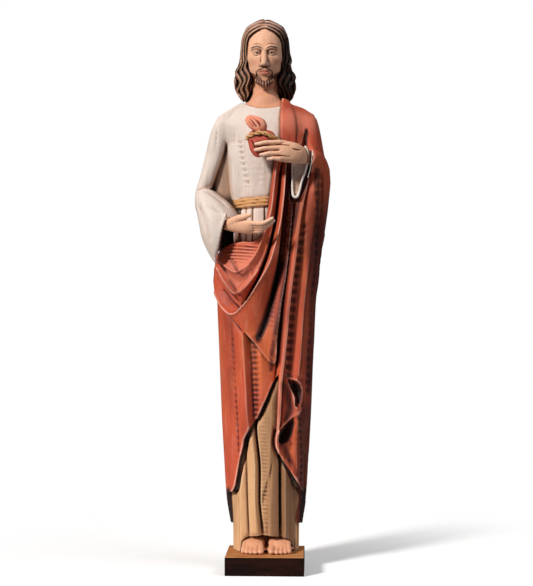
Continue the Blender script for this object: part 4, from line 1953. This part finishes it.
# %% Marks on the head
from_middle = np.abs(hx)
across_eye = from_middle - (EYE_APART - 0.4)
front_of_head = np.clip(-hy - 34, -5, 5)
almond = (1 - np.hypot(across_eye / 6.2, (hz - EYE_LEVEL + 1.3) / 2.2)) * 2.4
iris = 2.5 - np.hypot(across_eye + 0.4, hz - EYE_LEVEL + 1.2)
brow_line = np.interp(from_middle, [5.5, 13, 23.5], [12.4, 15.8, 12.6])
brow = np.minimum(1.6 - np.abs(hz - brow_line), 10 - np.abs(from_middle - 14.5))
lips = (1 - np.hypot(hx / 12.0, (hz - MOUTH_LEVEL + 0.4) / 3.9)) * 4.0
cheeks = 1 - np.hypot((from_middle - 20) / 12, (hz + 14) / 10)
for name, values in (("eye", almond), ("iris", np.minimum(iris, almond)), ("brow", brow), ("lips", lips)):
    stored(figure.data, name, np.clip(np.minimum(values, front_of_head), -5, 5))
stored(figure.data, "cheeks", np.clip(np.minimum(cheeks, front_of_head), -1, 1))

# %% [markdown]
# ## To metres
# All the carving was done in figure units. The corners now go to their place in the shared frame, and
# the object itself stays at the origin.

# %% Place the figure
move_corners(figure.data, corners_of(figure.data) * UNIT + ORIGIN)
figure.data.polygons.foreach_set("use_smooth", np.ones(len(figure.data.polygons), bool))
figure.data.update()
print(
    "figure spans", np.round(corners_of(figure.data).min(0), 4),
    np.round(corners_of(figure.data).max(0), 4),
)

# %% [markdown]
# ## A maker's short words for shader nodes
# The paint is a network of nodes. Short helpers keep it readable: a noise, a step between two
# values, a mix of two colours.


# %% Helpers for materials
def colour(red, green, blue):
    """A screen colour from 0 to 255 as the linear numbers that shaders use."""
    parts = [v / 255 for v in (red, green, blue)]
    return [v / 12.92 if v <= 0.04045 else ((v + 0.055) / 1.055) ** 2.4 for v in parts] + [1.0]


class Paint:
    def __init__(self, name):
        self.material = bpy.data.materials.new(name)
        self.material.use_nodes = True
        self.tree = self.material.node_tree
        self.shader = self.tree.nodes["Principled BSDF"]
        self.place = self.node("ShaderNodeTexCoord").outputs["Object"]

    def node(self, kind, **settings):
        return added(self.tree, kind, **settings)

    def feed(self, socket, value):
        if hasattr(value, "is_linked"):
            self.tree.links.new(value, socket)
        else:
            socket.default_value = value

    def attribute(self, name):
        return self.node("ShaderNodeAttribute", attribute_name=name).outputs["Fac"]

    def sum(self, operation, a, b=0.0, clamp=False):
        made = self.node("ShaderNodeMath", operation=operation, use_clamp=clamp)
        self.feed(made.inputs[0], a)
        self.feed(made.inputs[1], b)
        return made.outputs[0]

    def times(self, a, b):
        return self.sum("MULTIPLY", a, b)

    def plus(self, a, b):
        return self.sum("ADD", a, b)

    def step(self, value, low, high, top=1.0):
        made = self.node("ShaderNodeMapRange", interpolation_type="SMOOTHSTEP")
        for name, part in (
            ("Value", value), ("From Min", low), ("From Max", high), ("To Min", 0.0), ("To Max", top),
        ):
            self.feed(made.inputs[name], part)
        return made.outputs["Result"]

    def mix(self, share, a, b, kind="MIX"):
        made = self.node("ShaderNodeMix", data_type="RGBA", blend_type=kind)
        self.feed(made.inputs["Factor"], share)
        self.feed(made.inputs[6], a)
        self.feed(made.inputs[7], b)
        return made.outputs[2]

    def noise(self, scale, stretch=(1.0, 1.0, 1.0), detail=3.0, rough=0.55):
        mapped = self.node("ShaderNodeMapping")
        self.feed(mapped.inputs["Vector"], self.place)
        mapped.inputs["Scale"].default_value = stretch
        made = self.node("ShaderNodeTexNoise")
        self.feed(made.inputs["Vector"], mapped.outputs["Vector"])
        made.inputs["Scale"].default_value = scale
        made.inputs["Detail"].default_value = detail
        made.inputs["Roughness"].default_value = rough
        return made.outputs["Fac"]

    def bump(self, height, strength, distance, under=None):
        made = self.node("ShaderNodeBump")
        made.inputs["Strength"].default_value = strength
        made.inputs["Distance"].default_value = distance
        self.feed(made.inputs["Height"], height)
        if under is not None:
            self.feed(made.inputs["Normal"], under)
        return made.outputs["Normal"]


# %% [markdown]
# ## Painted limewood
# Each area has three colours: its paint, the darker glaze that is left in its cuts, and the paler tone of
# its worn edges. The attributes from before say which area a point is in and how hollow it is. Fine
# noise, stretched along the height, gives brush strokes and the grain under thin paint.

# %% Colours of the paint
PAINTS = {
    "tunic": (colour(222, 207, 197), colour(166, 118, 80), colour(244, 236, 230)),
    "mantle": (colour(196, 84, 54), colour(74, 14, 16), colour(238, 172, 152)),
    "skin": (colour(238, 182, 148), colour(122, 62, 38), colour(252, 216, 194)),
    "hair": (colour(94, 50, 32), colour(8, 3, 2), colour(216, 168, 140)),
    "heart": (colour(190, 84, 66), colour(58, 10, 8), colour(218, 128, 102)),
    "thorns": (colour(186, 128, 70), colour(60, 30, 14), colour(230, 190, 134)),
    "flame": (colour(236, 144, 114), colour(132, 44, 28), colour(250, 196, 170)),
}
SKIRT = (colour(206, 158, 114), colour(98, 56, 34), colour(228, 192, 152))
BELT = (colour(212, 156, 100), colour(112, 64, 34), colour(238, 202, 150))

# %% The painted wood
painted = Paint("painted_wood")
fine = painted.attribute("hollow_fine")
middle = painted.attribute("hollow_middle")
wide = painted.attribute("hollow_wide")
brush = painted.noise(90.0, (1.0, 1.0, 0.22), 4.0)
cloud = painted.noise(14.0, (1.0, 1.0, 0.5), 2.0)
grain = painted.noise(330.0, (1.0, 1.0, 0.05), 3.0, 0.6)
speck = painted.noise(420.0, (1.0, 1.0, 0.6), 2.0)
wander = painted.times(painted.sum("SUBTRACT", brush, 0.5), 0.8)

height = painted.node("ShaderNodeSeparateXYZ")
painted.feed(height.inputs[0], painted.place)
low_down = painted.step(height.outputs["Z"], 0.50, 0.42)


def area(name):
    """One inside an area of paint and zero outside, with an edge that wanders a little."""
    return painted.step(painted.plus(painted.attribute("paint_" + name), wander), -0.35, 0.35)


tones = []
for k in range(3):
    tone = painted.mix(low_down, PAINTS["tunic"][k], SKIRT[k])
    tone = painted.mix(area("belt"), tone, BELT[k])
    for name in PAINT_NAMES[1:]:
        tone = painted.mix(area(name), tone, PAINTS[name][k])
    tones.append(tone)
paint_tone, glaze_tone, worn_tone = tones

# cuts hold glaze and edges are worn; the noise breaks both up
cuts = painted.plus(fine, painted.times(middle, 0.8))
cuts = painted.plus(cuts, painted.times(painted.sum("SUBTRACT", brush, 0.5), 0.10))
glaze_share = painted.step(cuts, 0.02, 0.26, 0.95)
edge_share = painted.step(painted.times(cuts, -1.0), 0.12, 0.42, 0.85)
surface = painted.mix(glaze_share, paint_tone, glaze_tone)
surface = painted.mix(edge_share, surface, worn_tone)
surface = painted.mix(painted.step(cloud, 0.4, 0.8, 0.14), surface, glaze_tone)
ochre = painted.times(painted.step(cloud, 0.55, 0.35, 0.55), area("mantle"))
surface = painted.mix(ochre, surface, colour(206, 110, 62))
surface = painted.mix(painted.step(brush, 0.5, 0.85, 0.24), surface, worn_tone)
surface = painted.mix(painted.step(grain, 0.50, 0.78, 0.30), surface, glaze_tone)
maroon = painted.noise(24.0, (1.0, 1.0, 0.30), 3.0)
maroon = painted.times(painted.step(maroon, 0.48, 0.72, 0.50), area("mantle"))
surface = painted.mix(maroon, surface, colour(112, 38, 30))
wiped = painted.times(painted.attribute("pale_paint"), area("mantle"))
surface = painted.mix(painted.step(wiped, 0.0, 1.0, 0.50), surface, colour(232, 138, 112))
uneven = painted.times(painted.sum("SUBTRACT", brush, 0.5), 0.5)
on_mantle = painted.times(painted.attribute("thick_glaze"), area("mantle"))
glaze_here = painted.plus(on_mantle, uneven)
surface = painted.mix(painted.step(glaze_here, 0.20, 0.95, 0.85), surface, colour(58, 15, 14))
surface = painted.mix(painted.step(glaze_here, 0.85, 1.30, 0.92), surface, colour(16, 6, 5))
on_tunic = painted.times(painted.attribute("tan_glaze"), area("tunic"))
glaze_here = painted.plus(on_tunic, painted.times(uneven, 0.7))
surface = painted.mix(painted.step(glaze_here, 0.15, 1.0, 0.72), surface, glaze_tone)
surface = painted.mix(painted.step(glaze_here, 1.0, 1.6, 0.90), surface, colour(24, 12, 8))
black = painted.mix(area("skin"), colour(12, 5, 4), colour(84, 40, 26))
surface = painted.mix(painted.step(wide, 0.08, 0.30, 0.92), surface, black)

# hair
crown = painted.times(painted.step(height.outputs["Z"], 0.958, 0.988, 0.75), area("hair"))
surface = painted.mix(crown, surface, colour(214, 168, 154))
crest = painted.times(painted.attribute("hair_crest"), area("hair"))
surface = painted.mix(painted.step(crest, 0.25, 0.95, 0.70), surface, colour(218, 170, 134))
gap = painted.times(painted.attribute("hair_gap"), area("hair"))
surface = painted.mix(painted.step(gap, 0.15, 0.70, 0.95), surface, colour(8, 3, 3))

# the feet and the face
at_feet = painted.times(painted.step(height.outputs["Z"], 0.085, 0.065, 0.60), area("skin"))
surface = painted.mix(at_feet, surface, colour(192, 124, 84))
under_chin = painted.times(painted.step(height.outputs["Z"], 0.905, 0.880, 0.50), area("skin"))
above_hands = painted.step(height.outputs["Z"], 0.815, 0.835, 1.0)
surface = painted.mix(painted.times(under_chin, above_hands), surface, colour(196, 124, 88))
for name, low, high, most, tone in (
    ("cheeks", 0.0, 1.0, 0.30, colour(214, 120, 92)),
    ("lips", -0.4, 0.8, 0.75, colour(178, 88, 72)),
    ("brow", -0.4, 0.8, 0.90, colour(66, 36, 24)),
    ("eye", -0.1, 0.5, 0.85, colour(226, 212, 198)),
    ("iris", -0.2, 0.4, 0.95, colour(52, 32, 22)),
):
    surface = painted.mix(painted.step(painted.attribute(name), low, high, most), surface, tone)
painted.feed(painted.shader.inputs["Base Color"], surface)

# %% Sheen, strokes and grain of the painted wood
shine = painted.plus(0.46, painted.times(brush, 0.22))
shine = painted.plus(shine, painted.times(glaze_share, 0.10))
painted.feed(painted.shader.inputs["Roughness"], shine)
painted.shader.inputs["Specular IOR Level"].default_value = 0.28
strokes = painted.bump(brush, 0.30, 0.0012)
strokes = painted.bump(speck, 0.25, 0.0004, strokes)
painted.feed(painted.shader.inputs["Normal"], painted.bump(grain, 0.35, 0.0003, strokes))
figure.data.materials.clear()
figure.data.materials.append(painted.material)
print(len(painted.tree.nodes), "nodes in the painted wood")

# %% [markdown]
# ## The plinth
# The plinth is a plain block of the same wood, stained nearly black, with a tan top where the stain was
# rubbed off. The solid's shape is right as it is, so it only gets a finish.

# %% Stained wood
stained = Paint("stained_wood")
plinth_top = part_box("plinth")[1].z
rise = stained.node("ShaderNodeSeparateXYZ")
stained.feed(rise.inputs[0], stained.place)
figure_grain = stained.noise(28.0, (0.35, 1.0, 2.2), 4.0, 0.6)
fibre = stained.noise(260.0, (0.06, 1.0, 1.0), 3.0, 0.6)
blotch = stained.noise(34.0, (1.0, 1.0, 1.0), 3.0)
side = stained.mix(stained.step(figure_grain, 0.4, 0.7), colour(20, 7, 4), colour(38, 15, 9))
side = stained.mix(stained.step(fibre, 0.5, 0.75, 0.5), side, colour(14, 6, 4))
top = stained.mix(stained.step(figure_grain, 0.35, 0.7), colour(206, 146, 92), colour(176, 112, 66))
top = stained.mix(stained.step(fibre, 0.5, 0.75, 0.6), top, colour(140, 84, 50))
top = stained.mix(stained.step(blotch, 0.55, 0.75, 0.35), top, colour(120, 70, 42))
upper = stained.step(rise.outputs["Z"], plinth_top - 0.0009, plinth_top - 0.0001)
wood = stained.mix(upper, side, top)
stained.feed(stained.shader.inputs["Base Color"], wood)
stained.feed(stained.shader.inputs["Roughness"], stained.plus(0.50, stained.times(fibre, 0.25)))
stained.shader.inputs["Specular IOR Level"].default_value = 0.06
broad_grain = stained.bump(figure_grain, 0.2, 0.001)
stained.feed(stained.shader.inputs["Normal"], stained.bump(fibre, 0.35, 0.0004, broad_grain))
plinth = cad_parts["plinth"]
plinth.data.materials.clear()
plinth.data.materials.append(stained.material)

# %% [markdown]
# ## Riding on the frame
# The carved figure takes the place of the plain solid and moves with the only body there is.

# %% Frame calls
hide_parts("figure")
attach(figure, "root")

# %% [markdown]
# ## Camera, light and floor
# The photograph was taken from a little over two metres, level with the middle of the figure. The
# light is a soft lamp from the upper left, so the right side falls into shade.

# %% Camera
FOCAL_PIXELS = 1200.0
PICTURE_PIXELS = 586
SENSOR = 36.0
lens = bpy.data.cameras.new("camera")
lens.sensor_width = SENSOR
lens.lens = SENSOR * FOCAL_PIXELS / PICTURE_PIXELS
camera = bpy.data.objects.new("camera", lens)
camera.location = (0.086, -2.176, 0.446)
camera.rotation_euler = (math.radians(91.41), 0, math.radians(2.22))
bpy.context.collection.objects.link(camera)
bpy.context.scene.camera = camera

# %% Lights and sky
def lamp(name, energy, softness, tilt, turn, tint=(1.0, 1.0, 1.0)):
    """A lamp as far away as the sun. Its softness, tilt from above and turn are in degrees."""
    light = bpy.data.lights.new(name, "SUN")
    light.energy = energy
    light.angle = math.radians(softness)
    light.color = tint
    holder = bpy.data.objects.new(name, light)
    holder.rotation_euler = (math.radians(tilt), 0, math.radians(turn))
    bpy.context.collection.objects.link(holder)


lamp("key", 3.6, 9, 58, -43, (1.0, 0.97, 0.93))
lamp("top", 0.75, 30, 42, 62)

studio = bpy.data.worlds.new("studio")
bpy.context.scene.world = studio
studio.use_nodes = True
sky = studio.node_tree
seen = sky.nodes["Background"]
seen.inputs["Color"].default_value = (1, 1, 1, 1)
seen.inputs["Strength"].default_value = 1.0
lit = sky.nodes.new("ShaderNodeBackground")
lit.inputs["Color"].default_value = (0.93, 0.95, 1.0, 1)
lit.inputs["Strength"].default_value = 0.13
ray = sky.nodes.new("ShaderNodeLightPath")
either = sky.nodes.new("ShaderNodeMixShader")
sky.links.new(ray.outputs["Is Camera Ray"], either.inputs[0])
sky.links.new(lit.outputs[0], either.inputs[1])
sky.links.new(seen.outputs[0], either.inputs[2])
sky.links.new(either.outputs[0], sky.nodes["World Output"].inputs["Surface"])
bpy.context.scene.view_settings.view_transform = "Standard"

# %% A pale floor that fades into the white backdrop
FLOOR_REACH = 1.6
FLOOR_SIDES = 64
floor_mesh = bpy.data.meshes.new("floor")
turns_round = np.linspace(0, 2 * math.pi, FLOOR_SIDES + 1)[:-1]
rim_spots = [(FLOOR_REACH * math.cos(t), FLOOR_REACH * math.sin(t), 0.0) for t in turns_round]
floor_mesh.from_pydata(rim_spots, [], [list(range(FLOOR_SIDES))])
floor = bpy.data.objects.new("floor", floor_mesh)
bpy.context.collection.objects.link(floor)
pale = Paint("pale_floor")
pale.shader.inputs["Base Color"].default_value = (0.95, 0.95, 0.95, 1)
pale.shader.inputs["Roughness"].default_value = 0.9
pale.shader.inputs["Emission Color"].default_value = (1, 1, 1, 1)
pale.shader.inputs["Emission Strength"].default_value = 0.22
away = pale.node("ShaderNodeVectorMath", operation="LENGTH")
pale.feed(away.inputs[0], pale.place)
faded = pale.step(away.outputs["Value"], 0.12, 0.80)
pale.feed(pale.shader.inputs["Alpha"], pale.sum("SUBTRACT", 1.0, faded, True))
floor.data.materials.append(pale.material)
